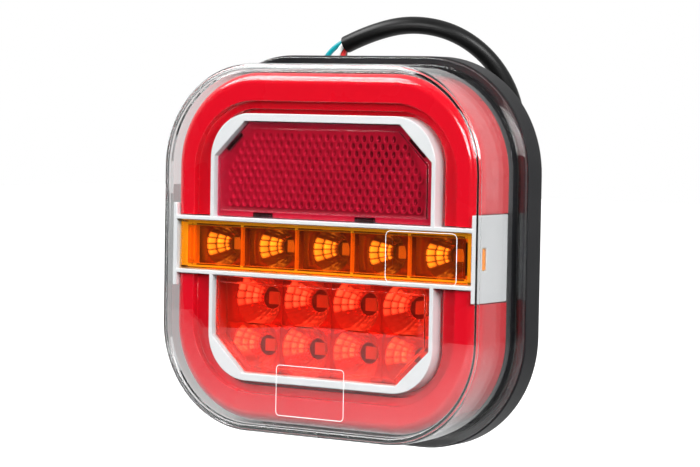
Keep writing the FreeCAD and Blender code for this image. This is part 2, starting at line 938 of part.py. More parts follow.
def mounting_studs():
    """Two threaded studs with a head inside the housing and a collar through its floor."""
    studs = []
    floor = size("base_floor")
    for side in (-1, 1):
        x = side * size("stud_pitch") / 2
        head = round_bar("StudHead", size("stud_head"), size("stud_head_height"), x,
                         -(floor + size("stud_head_height")), 0)
        collar = round_bar("StudCollar", size("stud_collar"), floor, x, -floor, 0)
        shank = round_bar("StudShank", size("stud_diameter"), size("stud_length"), x, 0, 0)
        studs.append(joined("Stud", [head, collar, shank]))
    return group("mounting_studs", studs)


# ---------------------------------------------------------------- cable


def bored(label, outside, y, length):
    """A round piece on the cable's axis with the cable's bore through it."""
    bore = round_bar("Bore", size("cable_diameter"), length, 0, y, outlet_z)
    return labelled(cut(f"{label}Cut", outside, bore), label)


def cable_grommet():
    """Rubber bush: flange inside, neck through the floor, tapered strain relief outside."""
    floor = size("base_floor")
    flange_height = size("grommet_flange_height")
    flange = round_bar("GrommetFlange", size("grommet_flange"), flange_height, 0,
                       -(floor + flange_height), outlet_z)
    neck = round_bar("GrommetNeck", size("grommet_diameter"), floor, 0, -floor, outlet_z)
    relief = round_bar("GrommetRelief", size("grommet_diameter"), size("grommet_length"),
                       0, 0, outlet_z, tip=size("grommet_tip"))
    outside = joined("GrommetBody", [flange, neck, relief])
    start = -(floor + flange_height)
    return bored("cable_grommet", outside, start, floor + flange_height + size("grommet_length"))


def cable_potting():
    """Resin disc that seals the cable over the grommet's flange."""
    outside = round_bar("PottingDisc", size("potting_diameter"), size("potting_height"),
                        0, -cable_inner_depth, outlet_z)
    return bored("cable_potting", outside, -cable_inner_depth, size("potting_height"))


def cable_inner():
    """The cable's stretch inside the housing and the grommet."""
    length = cable_inner_depth + size("grommet_length")
    bar = round_bar("CableInner", size("cable_diameter"), length, 0, -cable_inner_depth,
                    outlet_z)
    return labelled(bar, "cable_inner")


def inner_lead(label, side, level):
    """A short lead from the cable's inner end to the back of the board."""
    spread = size("lead_spread").value
    start = FreeCAD.Vector(side * spread, -cable_inner_depth.value,
                           outlet_z.value + level * spread)
    end = FreeCAD.Vector(side * size("solder_across").value, -board_back.value,
                         outlet_z.value + level * size("solder_up").value)
    third = (end.y - start.y) / 3
    points = [start, start + FreeCAD.Vector(0.4 * side, third, 0),
              end - FreeCAD.Vector(0.4 * side, third, 0), end]
    return tube(label, points, size("lead_diameter").value)


def shifted(points, origin):
    """A route's points, moved so that they are measured from the origin of the frame."""
    return [FreeCAD.Vector(*point) + origin for point in points]


def free_cable():
    """The jacketed cable outside the lamp, its four stripped wires and their bare tips."""
    tip = FreeCAD.Vector(0, size("grommet_length").value, outlet_z.value)
    route = shifted(CABLE_ROUTE, tip)
    cords = [tube("cable_jacket", route, size("cable_diameter").value)]
    cores = []
    for label, steps in WIRE_ROUTES.items():
        points = shifted(steps, route[-1])
        cords.append(tube(label, points, size("wire_diameter").value))
        heading = (points[-1] - points[-2]).normalize()
        cores.append(Part.makeCylinder(
            size("core_diameter").value / 2, size("core_length").value, points[-1], heading))
    tips = DOC.addObject("Part::Feature", "wire_tips")
    tips.Shape = Part.makeCompound(cores)
    return cords + [labelled(tips, "wire_tips")]


def driver_chips():
    """Two driver chips behind the board."""
    level = board_height / 2 - size("chip_inset")
    places = [(board_width / 2 - size("chip_inset"), -level),
              (size("second_chip_inset") - board_width / 2, level)]
    return on_board("driver_chips", places, size("chip_length"), size("chip_breadth"),
                    size("chip_height"), behind=True)


def resistors():
    """A row of ten chip resistors behind the board."""
    level = board_height / 2 - size("resistor_inset")
    places = [((i - 4.5) * size("resistor_pitch"), level) for i in range(10)]
    return on_board("resistors", places, size("resistor_length"), size("resistor_breadth"),
                    size("resistor_height"), behind=True)


def diodes():
    """Four diodes behind the board, one for each supply wire."""
    level = size("diode_inset") - board_height / 2
    places = [(i * size("diode_pitch"), level) for i in range(1, 5)]
    return on_board("diodes", places, size("diode_length"), size("diode_breadth"),
                    size("diode_height"), behind=True)


def leds(label, places, side, height):
    """Square light emitting diodes on the front of the board."""
    return on_board(label, places, size(side), size(side), size(height))


def build():
    """Makes every sub-part."""
    corners = {"green": (-1, 1), "white": (1, 1), "red": (1, -1), "brown": (-1, -1)}
    return [
        housing_base(), perimeter_gasket(), clear_lens(), bezel_frame(),
        tail_guide("tail_guide_upper", 1), tail_guide("tail_guide_lower", -1),
        indicator_lens(), indicator_reflector(), stop_lens(), stop_reflector(),
        retro_reflector(), retro_backing(), circuit_board(),
        leds("stop_leds", stop_led_places(), "led_size", "led_thickness"),
        leds("indicator_leds", indicator_led_places(), "led_size", "led_thickness"),
        leds("tail_leds", tail_led_places(), "tail_led_size", "tail_led_thickness"),
        board_screws(), driver_chips(), resistors(), diodes(), capacitor(),
        mounting_studs(), cable_grommet(), cable_potting(), cable_inner(),
        *(inner_lead(f"lead_{colour}", *place) for colour, place in corners.items()),
        *free_cable(),
    ]


def check_and_export(parts):
    """Stops on any failed object or bad shape, then writes one STEP file per sub-part."""
    DOC.recompute()
    for obj in DOC.Objects:
        if "Invalid" in obj.State or "Error" in obj.State:
            raise ValueError(f"{obj.Name} ({obj.Label}) is {obj.State}")
    for part in parts:
        if part.Shape.isNull() or not part.Shape.isValid() or not part.Shape.Solids:
            raise ValueError(f"{part.Label} has no valid solid")
    os.makedirs("parts", exist_ok=True)
    for part in parts:
        part.Shape.exportStep(f"parts/{part.Label}.step")
    print(len(parts), "sub-parts written")


check_and_export(build())
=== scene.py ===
"""Looks of a square LED trailer tail light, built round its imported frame.

Lengths are metres. X is to the right seen from the front, Z is up, and the lamp faces -Y. A
"depth" is the distance in front of the flat back face, which is -Y.
"""

import logging
from dataclasses import dataclass, field
from enum import Enum
from math import cos, pi, radians, sin
from typing import Any

import bmesh
import bpy
import numpy as np
from mathutils import Matrix, Vector


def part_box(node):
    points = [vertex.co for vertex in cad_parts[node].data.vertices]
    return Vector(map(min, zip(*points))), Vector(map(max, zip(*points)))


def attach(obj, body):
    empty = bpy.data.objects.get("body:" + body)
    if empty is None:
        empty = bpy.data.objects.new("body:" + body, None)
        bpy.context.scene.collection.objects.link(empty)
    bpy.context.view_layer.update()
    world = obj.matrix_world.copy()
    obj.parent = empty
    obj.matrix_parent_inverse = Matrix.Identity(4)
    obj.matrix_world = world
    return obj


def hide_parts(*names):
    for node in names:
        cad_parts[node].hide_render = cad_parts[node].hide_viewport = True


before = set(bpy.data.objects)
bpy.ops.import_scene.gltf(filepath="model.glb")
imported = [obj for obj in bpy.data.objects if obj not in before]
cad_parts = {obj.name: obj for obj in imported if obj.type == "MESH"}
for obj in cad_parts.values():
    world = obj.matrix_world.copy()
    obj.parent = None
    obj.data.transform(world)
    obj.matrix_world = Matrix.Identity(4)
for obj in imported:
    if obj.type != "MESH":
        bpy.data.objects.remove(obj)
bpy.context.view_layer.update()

Colour = tuple[float, float, float]

MM = 0.001
TINY = 1e-6
BELOW_ONE = 0.99999
CORNER_STEPS = 28
FLAT_TURN = 0.6
SOFT_TURN = 32.0
PANE_GAP = 0.25 * MM
LOG = logging.getLogger("tail_light")


class Level(Enum):
    """The lamp's two windows."""

    UPPER = 1
    LOWER = -1


class Grain(Enum):
    """How a moulded surface is textured, as the texture's frequency and its height."""

    POLISHED = (900.0, 0.004 * MM)
    SATIN = (2600.0, 0.012 * MM)
    SPARK = (3400.0, 0.035 * MM)


# ---- shader tools


class Signal:
    """A socket's number, on which arithmetic adds Math nodes."""

    def __init__(self, paint: "Paint", socket: bpy.types.NodeSocket) -> None:
        """Wraps a socket of a paint's tree."""
        self.paint = paint
        self.socket = socket

    def math(self, operation: str, *operands: Any) -> "Signal":
        """Adds one Math node.

        Args:
            operation: the node's operation.
            operands: its inputs, as numbers or signals.

        Returns:
            The node's result.
        """
        inputs = dict(enumerate(operands))
        node = self.paint.node("ShaderNodeMath", {"operation": operation}, inputs)
        return Signal(self.paint, node.outputs[0])

    def __add__(self, other: Any) -> "Signal":
        """Sum."""
        return self.math("ADD", self, other)

    def __sub__(self, other: Any) -> "Signal":
        """Difference."""
        return self.math("SUBTRACT", self, other)

    def __rsub__(self, other: Any) -> "Signal":
        """Difference from a number."""
        return self.math("SUBTRACT", other, self)

    def __mul__(self, other: Any) -> "Signal":
        """Product."""
        return self.math("MULTIPLY", self, other)

    __radd__ = __add__
    __rmul__ = __mul__

    def step(self, low: float, high: float) -> "Signal":
        """A smooth rise from 0 at low to 1 at high."""
        settings = {"interpolation_type": "SMOOTHSTEP"}
        node = self.paint.node("ShaderNodeMapRange", settings,
                               {"Value": self, "From Min": low, "From Max": high})
        return Signal(self.paint, node.outputs["Result"])


class Paint:
    """A node tree under construction, of a material or of the world."""

    def __init__(self, owner: bpy.types.Material | bpy.types.World) -> None:
        """Empties the owner's tree."""
        owner.use_nodes = True
        self.owner = owner
        self.tree = owner.node_tree
        self.tree.nodes.clear()

    def node(self, kind: str, settings: dict[str, Any] | None = None,
             inputs: dict[Any, Any] | None = None) -> bpy.types.Node:
        """Adds a node.

        Args:
            kind: the node's type.
            settings: its properties, set before its sockets.
            inputs: numbers, colours of three numbers, signals or sockets, by name or place.

        Returns:
            The new node.
        """
        node = self.tree.nodes.new(kind)
        for name, value in (settings or {}).items():
            setattr(node, name, value)
        for name, value in (inputs or {}).items():
            source = value.socket if isinstance(value, Signal) else value
            if isinstance(source, bpy.types.NodeSocket):
                self.tree.links.new(source, node.inputs[name])
            else:
                full = (*source, 1.0) if isinstance(source, tuple) else source
                node.inputs[name].default_value = full
        return node

    def position(self) -> bpy.types.NodeSocket:
        """The point's place in the lamp's own frame."""
        return self.node("ShaderNodeTexCoord").outputs["Object"]

    def noise(self, scale: float, detail: float = 3.0, distortion: float = 0.0) -> Signal:
        """Cloudy variation between 0 and 1."""
        inputs = {"Vector": self.position(), "Scale": scale, "Detail": detail,
                  "Distortion": distortion}
        return Signal(self, self.node("ShaderNodeTexNoise", {}, inputs).outputs[0])

    def cells(self, scale: float) -> Signal:
        """Distance to the nearest of many scattered points."""
        node = self.node("ShaderNodeTexVoronoi", {},
                         {"Vector": self.position(), "Scale": scale})
        return Signal(self, node.outputs["Distance"])

    def ray(self, kind: str) -> Signal:
        """1 for rays of a kind, 0 for others."""
        return Signal(self, self.node("ShaderNodeLightPath").outputs[kind])

    def part(self, vector: bpy.types.NodeSocket, axis: int) -> Signal:
        """One of a vector's three numbers."""
        node = self.node("ShaderNodeSeparateXYZ", {}, {0: vector})
        return Signal(self, node.outputs[axis])

    def attribute(self, name: str) -> Signal:
        """A number kept on the mesh."""
        node = self.node("ShaderNodeAttribute", {"attribute_name": name})
        return Signal(self, node.outputs["Fac"])

    def mix(self, share: Signal, first: Any, second: Any) -> bpy.types.NodeSocket:
        """A colour between two others; the places are those of the node's colour sockets."""
        node = self.node("ShaderNodeMix", {"data_type": "RGBA"}, {0: share, 6: first, 7: second})
        return node.outputs[2]

    def bump(self, height: Signal, distance: float) -> bpy.types.NodeSocket:
        """A normal tilted by a height given as a share of a distance."""
        inputs = {"Height": height, "Distance": distance, "Strength": 1.0}
        return self.node("ShaderNodeBump", {}, inputs).outputs[0]

    def principled(self, inputs: dict[str, Any]) -> bpy.types.NodeSocket:
        """The main shader."""
        return self.node("ShaderNodeBsdfPrincipled", {}, inputs).outputs[0]

    def surface(self, shader: bpy.types.NodeSocket) -> bpy.types.Material:
        """Sends a shader to the material's output."""
        self.node("ShaderNodeOutputMaterial", {}, {"Surface": shader})
        return self.owner


def new_paint(name: str) -> Paint:
    """A new material with an empty tree."""
    return Paint(bpy.data.materials.new(name))


# ---- finishes


@dataclass(frozen=True)
class Moulded:
    """Opaque moulded plastic or rubber with a fine texture and slight clouding."""

    name: str
    colour: Colour
    shade: Colour
    roughness: float = 0.35
    grain: Grain = Grain.POLISHED
    coat: float = 0.0
    specular: float = 0.5
    coat_bend: float = 1.5
    painted_glow: float = 0.0

    def material(self) -> bpy.types.Material:
        """Clouded colour, clouded roughness, and moulded grain as relief."""
        paint = new_paint(self.name)
        cloud = paint.noise(45.0, 4.0).step(0.35, 0.68)
        frequency, height = self.grain.value
        fine = paint.noise(frequency, 2.0)
        scuffs = paint.noise(210.0, 6.0, 1.5).step(0.62, 0.78)
        return paint.surface(paint.principled({
            "Base Color": paint.mix(cloud, self.colour, self.shade),
            "Roughness": self.roughness + 0.05 * cloud + 0.08 * scuffs,
            "Specular IOR Level": self.specular,
            "Coat Weight": self.coat,
            "Coat Roughness": 0.03,
            "Coat IOR": self.coat_bend,
            # Painted glow: emission in the plastic's own colour, though the part is no lamp.
            "Emission Color": paint.mix(cloud, self.colour, self.shade),
            "Emission Strength": self.painted_glow,
            "Normal": paint.bump(fine, height),
        }))


@dataclass(frozen=True)
class Clear:
    """See-through plastic that bends what is behind it and lets the lamps' light through."""

    name: str
    tint: Colour
    shadow: Colour
    ripple: float = 0.004 * MM
    bend: float = 1.49
    gloss: float = 0.0

    def material(self) -> bpy.types.Material:
        """Glass with faint moulding ripples, swapped for plain tint on the way to a lamp."""
        paint = new_paint(self.name)
        ripples = paint.noise(95.0, 2.0) + 0.3 * paint.noise(420.0, 1.0)
        body = paint.principled({
            "Base Color": self.tint,
            "Roughness": 0.0,
            "IOR": self.bend,
            "Transmission Weight": 1.0,
            "Coat Weight": self.gloss,
            "Coat Roughness": 0.0,
            "Coat IOR": 1.49,
            "Normal": paint.bump(ripples, self.ripple),
        })
        through = paint.node("ShaderNodeBsdfTransparent", {}, {"Color": self.shadow})
        mixed = paint.node("ShaderNodeMixShader", {}, {
            0: paint.ray("Is Shadow Ray"), 1: body, 2: through.outputs[0]})
        return paint.surface(mixed.outputs[0])


@dataclass(frozen=True)
class Metal:
    """Metal or metallised plastic, with a fine uneven polish."""

    name: str
    colour: Colour
    shade: Colour
    roughness: float = 0.2
    streak: float = 0.0
    metallic: float = 1.0
    painted_glow: float = 0.0
    painted_glint_strength: float = 0.0

    def material(self) -> bpy.types.Material:
        """Clouded colour and polish, fine relief, and painted light: glints emitted by facets
        marked on the mesh, and a faint even glow.
        """
        paint = new_paint(self.name)
        painted_glint = self.painted_glow + self.painted_glint_strength * paint.attribute("painted_glint")
        cloud = paint.noise(160.0, 5.0).step(0.3, 0.7)
        fine = paint.noise(1800.0, 3.0)
        return paint.surface(paint.principled({
            "Base Color": paint.mix(cloud, self.colour, self.shade),
            "Metallic": self.metallic,
            # Painted light: emission paints the facets' glints and a faint glow, though the
            # reflector is no lamp.
            "Emission Color": paint.mix(painted_glint, (0.0, 0.0, 0.0), (4.0, 4.0, 4.0)),
            "Emission Strength": 1.0,
            "Roughness": self.roughness + 0.06 * cloud + self.streak * fine,
            "Normal": paint.bump(fine, 0.004 * MM),
        }))


@dataclass(frozen=True)
class Prisms:
    """Red reflector: bright ridges round cells darkened by painted shade, by the cells' own
    depth.
    """

    name: str
    ridge: Colour
    pit: Colour

    def material(self) -> bpy.types.Material:
        """Painted shade in the cells by the depth kept on the mesh, weaker to the left and in
        soft clouds, with the ridges also a little darker to the right.
        """
        paint = new_paint(self.name)
        pit = paint.attribute("pit")
        cloud = paint.noise(60.0, 3.0).step(0.3, 0.75)
        shade_rightward = paint.part(paint.position(), 0).step(-34 * MM, 26 * MM)
        # Painted shade: the pits darken with depth, more so towards the right.
        depth = pit * (0.32 + 0.68 * shade_rightward) * (1.0 - 0.4 * cloud)
        ridge = paint.mix(shade_rightward * 0.10, self.ridge, self.pit)
        return paint.surface(paint.principled({
            "Base Color": paint.mix(depth, ridge, self.pit),
            "Roughness": 0.22 + 0.1 * cloud,
            "Coat Weight": 0.4,
            "Coat Roughness": 0.05,
        }))


@dataclass(frozen=True)
class BoardMask:
    """Lacquered circuit board with faint copper runs under the lacquer."""

    name: str
    colour: Colour
    copper: Colour

    def material(self) -> bpy.types.Material:
        """Runs from thresholded cells, raised a little."""
        paint = new_paint(self.name)
        runs = paint.cells(260.0).step(0.30, 0.34)
        return paint.surface(paint.principled({
            "Base Color": paint.mix(runs * 0.6, self.colour, self.copper),
            "Roughness": 0.32 + 0.1 * runs,
            "Coat Weight": 0.3,
            "Normal": paint.bump(runs, 0.03 * MM),
        }))


HOUSING = Moulded("Black housing plastic", (0.005, 0.005, 0.006), (0.009, 0.009, 0.010),
                  0.42, Grain.SPARK, 0.0, 0.2)
RUBBER = Moulded("Black rubber", (0.006, 0.006, 0.006), (0.012, 0.012, 0.012), 0.6, Grain.SATIN,
                 specular=0.2)
BEZEL = Moulded("White bezel plastic", (0.76, 0.75, 0.76), (0.72, 0.72, 0.73), 0.28,
                Grain.SATIN, 0.3)
GUIDE = Moulded("Red diffusing plastic", (0.72, 0.002, 0.014), (0.70, 0.002, 0.013), 0.25,
                Grain.POLISHED, 1.0, 0.1, 1.62)
# The amber ribs and end blocks carry a painted glow.
AMBER = Moulded("Amber diffusing plastic", (0.98, 0.90, 0.10), (0.96, 0.86, 0.09), 0.25,
                Grain.POLISHED, 0.4, painted_glow=0.28)
SHEATH = Moulded("Cable sheath", (0.003, 0.003, 0.003), (0.006, 0.006, 0.006), 0.36,
                 Grain.POLISHED, specular=0.22)
RESIN = Moulded("Potting resin", (0.02, 0.02, 0.022), (0.035, 0.035, 0.04), 0.3)
# The LED packages carry a painted glow, though the lamp is not lit.
LED_BODY = Moulded("LED package", (0.92, 0.88, 0.72), (0.86, 0.80, 0.58), 0.35, painted_glow=0.25)
CHIP = Moulded("Component package", (0.015, 0.015, 0.016), (0.03, 0.03, 0.03), 0.5,
               Grain.SPARK)
MARK = Moulded("Frosted engraving", (0.92, 0.92, 0.92), (0.80, 0.80, 0.80), 0.7, Grain.SATIN)
COVER = Clear("Clear cover", (0.99, 0.995, 0.995), (0.97, 0.98, 0.98), bend=1.12, gloss=1.0)
RETRO_GLASS = Clear("Reflector window", (0.93, 0.16, 0.28), (0.97, 0.45, 0.60), 0.006 * MM)
BEAD = Clear("Cover edge", (0.97, 0.98, 0.98), (0.97, 0.98, 0.98), bend=1.42)
STOP_GLASS = Clear("Stop window", (0.96, 0.055, 0.018), (0.98, 0.42, 0.36), 0.006 * MM)
AMBER_GLASS = Clear("Amber window", (1.0, 0.19, 0.008), (1.0, 0.62, 0.20), 0.006 * MM)
# Both reflector finishes emit painted glints; the stop cups' finish also has a faint painted
# glow.
MIRROR = Metal("Metallised reflector", (0.52, 0.50, 0.48), (0.47, 0.45, 0.43), 0.10,
               metallic=0.5, painted_glint_strength=1.25)
SATIN_MIRROR = Metal("Satin metallised reflector", (0.96, 0.90, 0.88), (0.92, 0.86, 0.84), 0.14,
                     metallic=0.45, painted_glow=0.01, painted_glint_strength=1.2)
ZINC = Metal("Zinc plated steel", (0.62, 0.62, 0.60), (0.50, 0.51, 0.50), 0.26, 0.1)
ALUMINIUM = Metal("Bare aluminium", (0.75, 0.76, 0.77), (0.66, 0.67, 0.68), 0.3, 0.1)
COPPER = Metal("Tinned copper", (0.90, 0.50, 0.30), (0.78, 0.42, 0.26), 0.28)
# The second colour is the painted shade of the pits.
PRISMS = Prisms("Reflector prisms", (0.64, 0.22, 0.30), (0.10, 0.03, 0.04))
BOARD = BoardMask("Board lacquer", (0.45, 0.46, 0.43), (0.33, 0.30, 0.24))
WIRES = {
    "wire_green": Moulded("Green wire", (0.0, 0.29, 0.34), (0.0, 0.24, 0.29), 0.35),
    "wire_white": Moulded("White wire", (0.82, 0.82, 0.80), (0.74, 0.74, 0.72), 0.35),
    "wire_red": Moulded("Red wire", (0.65, 0.02, 0.02), (0.52, 0.02, 0.02), 0.35),
    "wire_brown": Moulded("Brown wire", (0.12, 0.045, 0.02), (0.09, 0.035, 0.02), 0.35),
}


# ---- mesh tools


def grid_faces(rows: int, columns: int, wrap_rows: bool = False,
               wrap_columns: bool = True) -> np.ndarray:
    """Quads of a grid of points, numbered row by row.

    Args:
        rows: number of rows.
        columns: number of points in a row.
        wrap_rows: joins the last row to the first.
        wrap_columns: joins the last column to the first.

    Returns:
        An array of four point numbers for each quad.
    """
    i, j = np.meshgrid(np.arange(rows if wrap_rows else rows - 1),
                       np.arange(columns if wrap_columns else columns - 1), indexing="ij")
    down = (i + 1) % rows
    right = (j + 1) % columns
    corners = (i * columns + j, i * columns + right, down * columns + right, down * columns + j)
    return np.stack([c.ravel() for c in corners], axis=1)


def enter(name: str, data: bpy.types.ID) -> bpy.types.Object:
    """A new object in the scene, made of a mesh, curve, light or camera."""
    thing = bpy.data.objects.new(name, data)
    bpy.context.scene.collection.objects.link(thing)
    return thing


def smooth_object(name: str, mesh: bpy.types.Mesh, material: bpy.types.Material,
                  sharp: float) -> bpy.types.Object:
    """A mesh object with its finish, smooth but for edges that turn by more than an angle."""
    mesh.shade_smooth()
    mesh.set_sharp_from_angle(angle=radians(sharp))
    mesh.materials.append(material)
    return enter(name, mesh)


def repeated(faces: np.ndarray, first: np.ndarray) -> list[list[int]]:
    """Copies of a block's faces, one for each number of a copy's first point."""
    return (faces[None] + first[:, None, None]).reshape(-1, faces.shape[1]).tolist()


def store_numbers(piece: bpy.types.Object, name: str, values: np.ndarray) -> None:
    """Keeps a number at each point of a mesh, for its material."""
    store = piece.data.attributes.new(name, "FLOAT", "POINT")
    store.data.foreach_set("value", values.astype(np.float32))


def new_piece(name: str, points: np.ndarray, faces: list[list[int]],
              material: bpy.types.Material, sharp: float = 35.0,
              recalculate: bool = True, weld: bool = True) -> bpy.types.Object:
    """Makes a mesh object at the origin.

    Args:
        name: the piece's name.
        points: places, any array whose last axis is x, y, z.
        faces: point numbers of each face.
        material: its finish.
        sharp: edges that turn by more than this many degrees stay crisp.
        recalculate: turns all faces of a closed shape outwards.
        weld: joins points that lie at the same place.

    Returns:
        The new object.
    """
    mesh = bpy.data.meshes.new(name)
    mesh.from_pydata(points.reshape(-1, 3).tolist(), [], faces)
    shape = bmesh.new()
    shape.from_mesh(mesh)
    if weld:
        bmesh.ops.remove_doubles(shape, verts=shape.verts, dist=TINY / 10)
    if recalculate:
        bmesh.ops.recalc_face_normals(shape, faces=shape.faces)
    shape.to_mesh(mesh)
    shape.free()
    return smooth_object(name, mesh, material, sharp)


def seat(piece: bpy.types.Object, slot: str, *nodes: str) -> bpy.types.Object:
    """Puts a piece on the lamp, logs the slot it is given and hides the frame nodes it stands
    for.
    """
    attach(piece, "root")
    if nodes:
        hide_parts(*nodes)
    LOG.info("%s: %s, stands for %s", piece.name, slot, ", ".join(nodes) or "nothing")
    return piece


def softened(node: str, name: str, width: float, material: bpy.types.Material,
             segments: int = 2) -> bpy.types.Object:
    """A copy of a frame node with its flat triangles merged and its sharp edges rounded.

    Args:
        node: the frame node.
        name: the copy's name.
        width: how far each rounding reaches from its edge.
        material: its finish.
        segments: steps in each rounding.

    Returns:
        The new object.
    """
    shape = bmesh.new()
    shape.from_mesh(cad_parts[node].data)
    bmesh.ops.remove_doubles(shape, verts=shape.verts, dist=TINY)
    bmesh.ops.dissolve_limit(shape, angle_limit=radians(FLAT_TURN), verts=shape.verts,
                             edges=shape.edges)
    mesh = bpy.data.meshes.new(name)
    shape.to_mesh(mesh)
    shape.free()
    piece = smooth_object(name, mesh, material, SOFT_TURN)
    bevel = piece.modifiers.new("Soft edges", "BEVEL")
    bevel.width = width
    bevel.segments = segments
    bevel.limit_method = "ANGLE"
    bevel.angle_limit = radians(SOFT_TURN)
    flats = piece.modifiers.new("Flat faces", "WEIGHTED_NORMAL")
    flats.keep_sharp = True
    return piece


def filleted(corners: list[tuple[float, float, float]], steps: int = 6) -> np.ndarray:
    """A profile's points with its corners rounded.

    A corner P with radius r becomes points of a quadratic curve from P + r * a to P + r * b,
    where a and b are the unit steps towards its neighbours: (1-t)^2 S + 2t(1-t) P + t^2 E.

    Args:
        corners: (inset, depth, radius) of each corner; the first and last are not rounded.
        steps: points on each rounding.

    Returns:
        An array of (inset, depth).
    """
    points = [np.array([corners[0][:2]])]
    for before, corner, after in zip(corners, corners[1:], corners[2:]):
        p = np.array(corner[:2])
        if corner[2] <= 0:
            points.append(p[None])
            continue
        a = np.array(before[:2]) - p
        b = np.array(after[:2]) - p
        start = p + corner[2] * a / np.hypot(*a)
        end = p + corner[2] * b / np.hypot(*b)
        t = np.linspace(0, 1, steps)[:, None]
        points.append((1 - t) ** 2 * start + 2 * t * (1 - t) * p + t**2 * end)
    points.append(np.array([corners[-1][:2]]))
    return np.concatenate(points)


@dataclass(frozen=True)
class Plan:
    """A rounded rectangle seen from the front, centred on the lamp."""

    half_x: float
    half_z: float
    corner: float
    centre_x: float = 0.0
    centre_z: float = 0.0

    def rings(self, profile: np.ndarray, steps: int = CORNER_STEPS) -> np.ndarray:
        """Copies of the plan pulled in and moved forward, one for each point of a profile.

        A ring's point is the corner's centre plus (corner - inset) * (cos a, sin a), with a
        running through a quarter turn at each of the four corners, at y = -depth.

        Args:
            profile: array of (inset, depth).
            steps: points on each corner.

        Returns:
            Points of shape (profile, ring, 3).
        """
        quarter = np.repeat(np.arange(4), steps)
        angle = (quarter + np.tile(np.linspace(0, 1, steps), 4)) * pi / 2
        side_x = np.where((quarter == 0) | (quarter == 3), 1, -1)
        side_z = np.where(quarter < 2, 1, -1)
        radius = (self.corner - profile[:, :1]).clip(TINY)
        x = self.centre_x + side_x * (self.half_x - self.corner) + radius * np.cos(angle)
        z = self.centre_z + side_z * (self.half_z - self.corner) + radius * np.sin(angle)
        y = np.broadcast_to(-profile[:, 1:], x.shape)
        return np.stack([x, y, z], axis=-1)


def capped(count: int, around: int) -> list[list[int]]:
    """Faces of a stack of rings with its first and last ring closed."""
    last = (count - 1) * around
    caps = [list(range(around)), list(range(last, last + around))]
    return grid_faces(count, around).tolist() + caps


def moulding(name: str, rings: np.ndarray, material: bpy.types.Material,
             ends: str = "caps", sharp: float = 35.0) -> bpy.types.Object:
    """Skins a stack of rings.

    Args:
        name: the piece's name.
        rings: points of shape (ring, point, 3).
        material: its finish.
        ends: "caps" closes the first and last ring, "loop" joins the last ring to the first.
        sharp: edges that turn by more than this many degrees stay crisp.

    Returns:
        The new object.
    """
    size = rings.shape[:2]
    faces = capped(*size) if ends == "caps" else grid_faces(*size, wrap_rows=True).tolist()
    return new_piece(name, rings, faces, material, sharp)


def edge_lines(corners: np.ndarray) -> np.ndarray:
    """The line of each edge of a convex outline.

    Args:
        corners: array of (x, z), anticlockwise.

    Returns:
        An array of (nx, nz, reach): a unit normal n that points outwards, and n.p.
    """
    edge = np.roll(corners, -1, axis=0) - corners
    normal = np.stack([edge[:, 1], -edge[:, 0]], axis=1)
    normal /= np.linalg.norm(normal, axis=1, keepdims=True)
    return np.concatenate([normal, (normal * corners).sum(axis=1)[:, None]], axis=1)


def polygon_rings(corners: np.ndarray, profile: np.ndarray) -> np.ndarray:
    """Copies of a convex outline pulled in and moved forward, one for each profile point.

    Each edge keeps its unit normal n and its distance n.p; a corner of the pulled-in outline
    is where two neighbouring edges meet after both distances shrink by the inset.

    Args:
        corners: array of (x, z), anticlockwise.
        profile: array of (inset, depth).

    Returns:
        Points of shape (profile, corner, 3).
    """
    lines = edge_lines(corners)
    normal = lines[:, :2]
    reach = lines[:, 2][None] - profile[:, :1]
    before = np.roll(normal, 1, axis=0)
    reach_before = np.roll(reach, 1, axis=1)
    det = before[:, 0] * normal[:, 1] - before[:, 1] * normal[:, 0]
    x = (reach_before * normal[:, 1] - reach * before[:, 1]) / det
    z = (reach * before[:, 0] - reach_before * normal[:, 0]) / det
    y = np.broadcast_to(-profile[:, 1:], x.shape)
    return np.stack([x, y, z], axis=-1)


def blocks(name: str, rows: np.ndarray, material: bpy.types.Material,
           chamfer: float) -> bpy.types.Object:
    """Chamfered blocks, all in one mesh.

    Block k has its four rings at insets (c, 0, 0, c); a ring's corner is the centre plus
    the signed half sizes less the inset, turned by the block's angle in the XZ plane.

    Args:
        name: the piece's name.
        rows: for each block x, z, half width, half height, back, front and angle, in mm.
        material: its finish.
        chamfer: size of the chamfers, in mm.

    Returns:
        The new object.
    """
    x, z, wide, tall, back, front, angle = (rows[:, k, None, None] for k in range(7))
    sign = np.array([(1, 1), (-1, 1), (-1, -1), (1, -1)]).T
    inset = np.array([chamfer, 0, 0, chamfer])[None, :, None]
    depth = np.concatenate([back, back + chamfer, front - chamfer, front], axis=1)
    across = sign[0] * (wide - inset)
    upward = sign[1] * (tall - inset)
    points = np.stack([
        x + across * np.cos(angle) - upward * np.sin(angle),
        np.broadcast_to(-depth, across.shape),
        z + across * np.sin(angle) + upward * np.cos(angle)], axis=-1) * MM
    one = np.concatenate([grid_faces(4, 4), [[3, 2, 1, 0], [12, 13, 14, 15]]])
    return new_piece(name, points, repeated(one, np.arange(len(rows)) * 16), material)


# ---- camera, light and floor


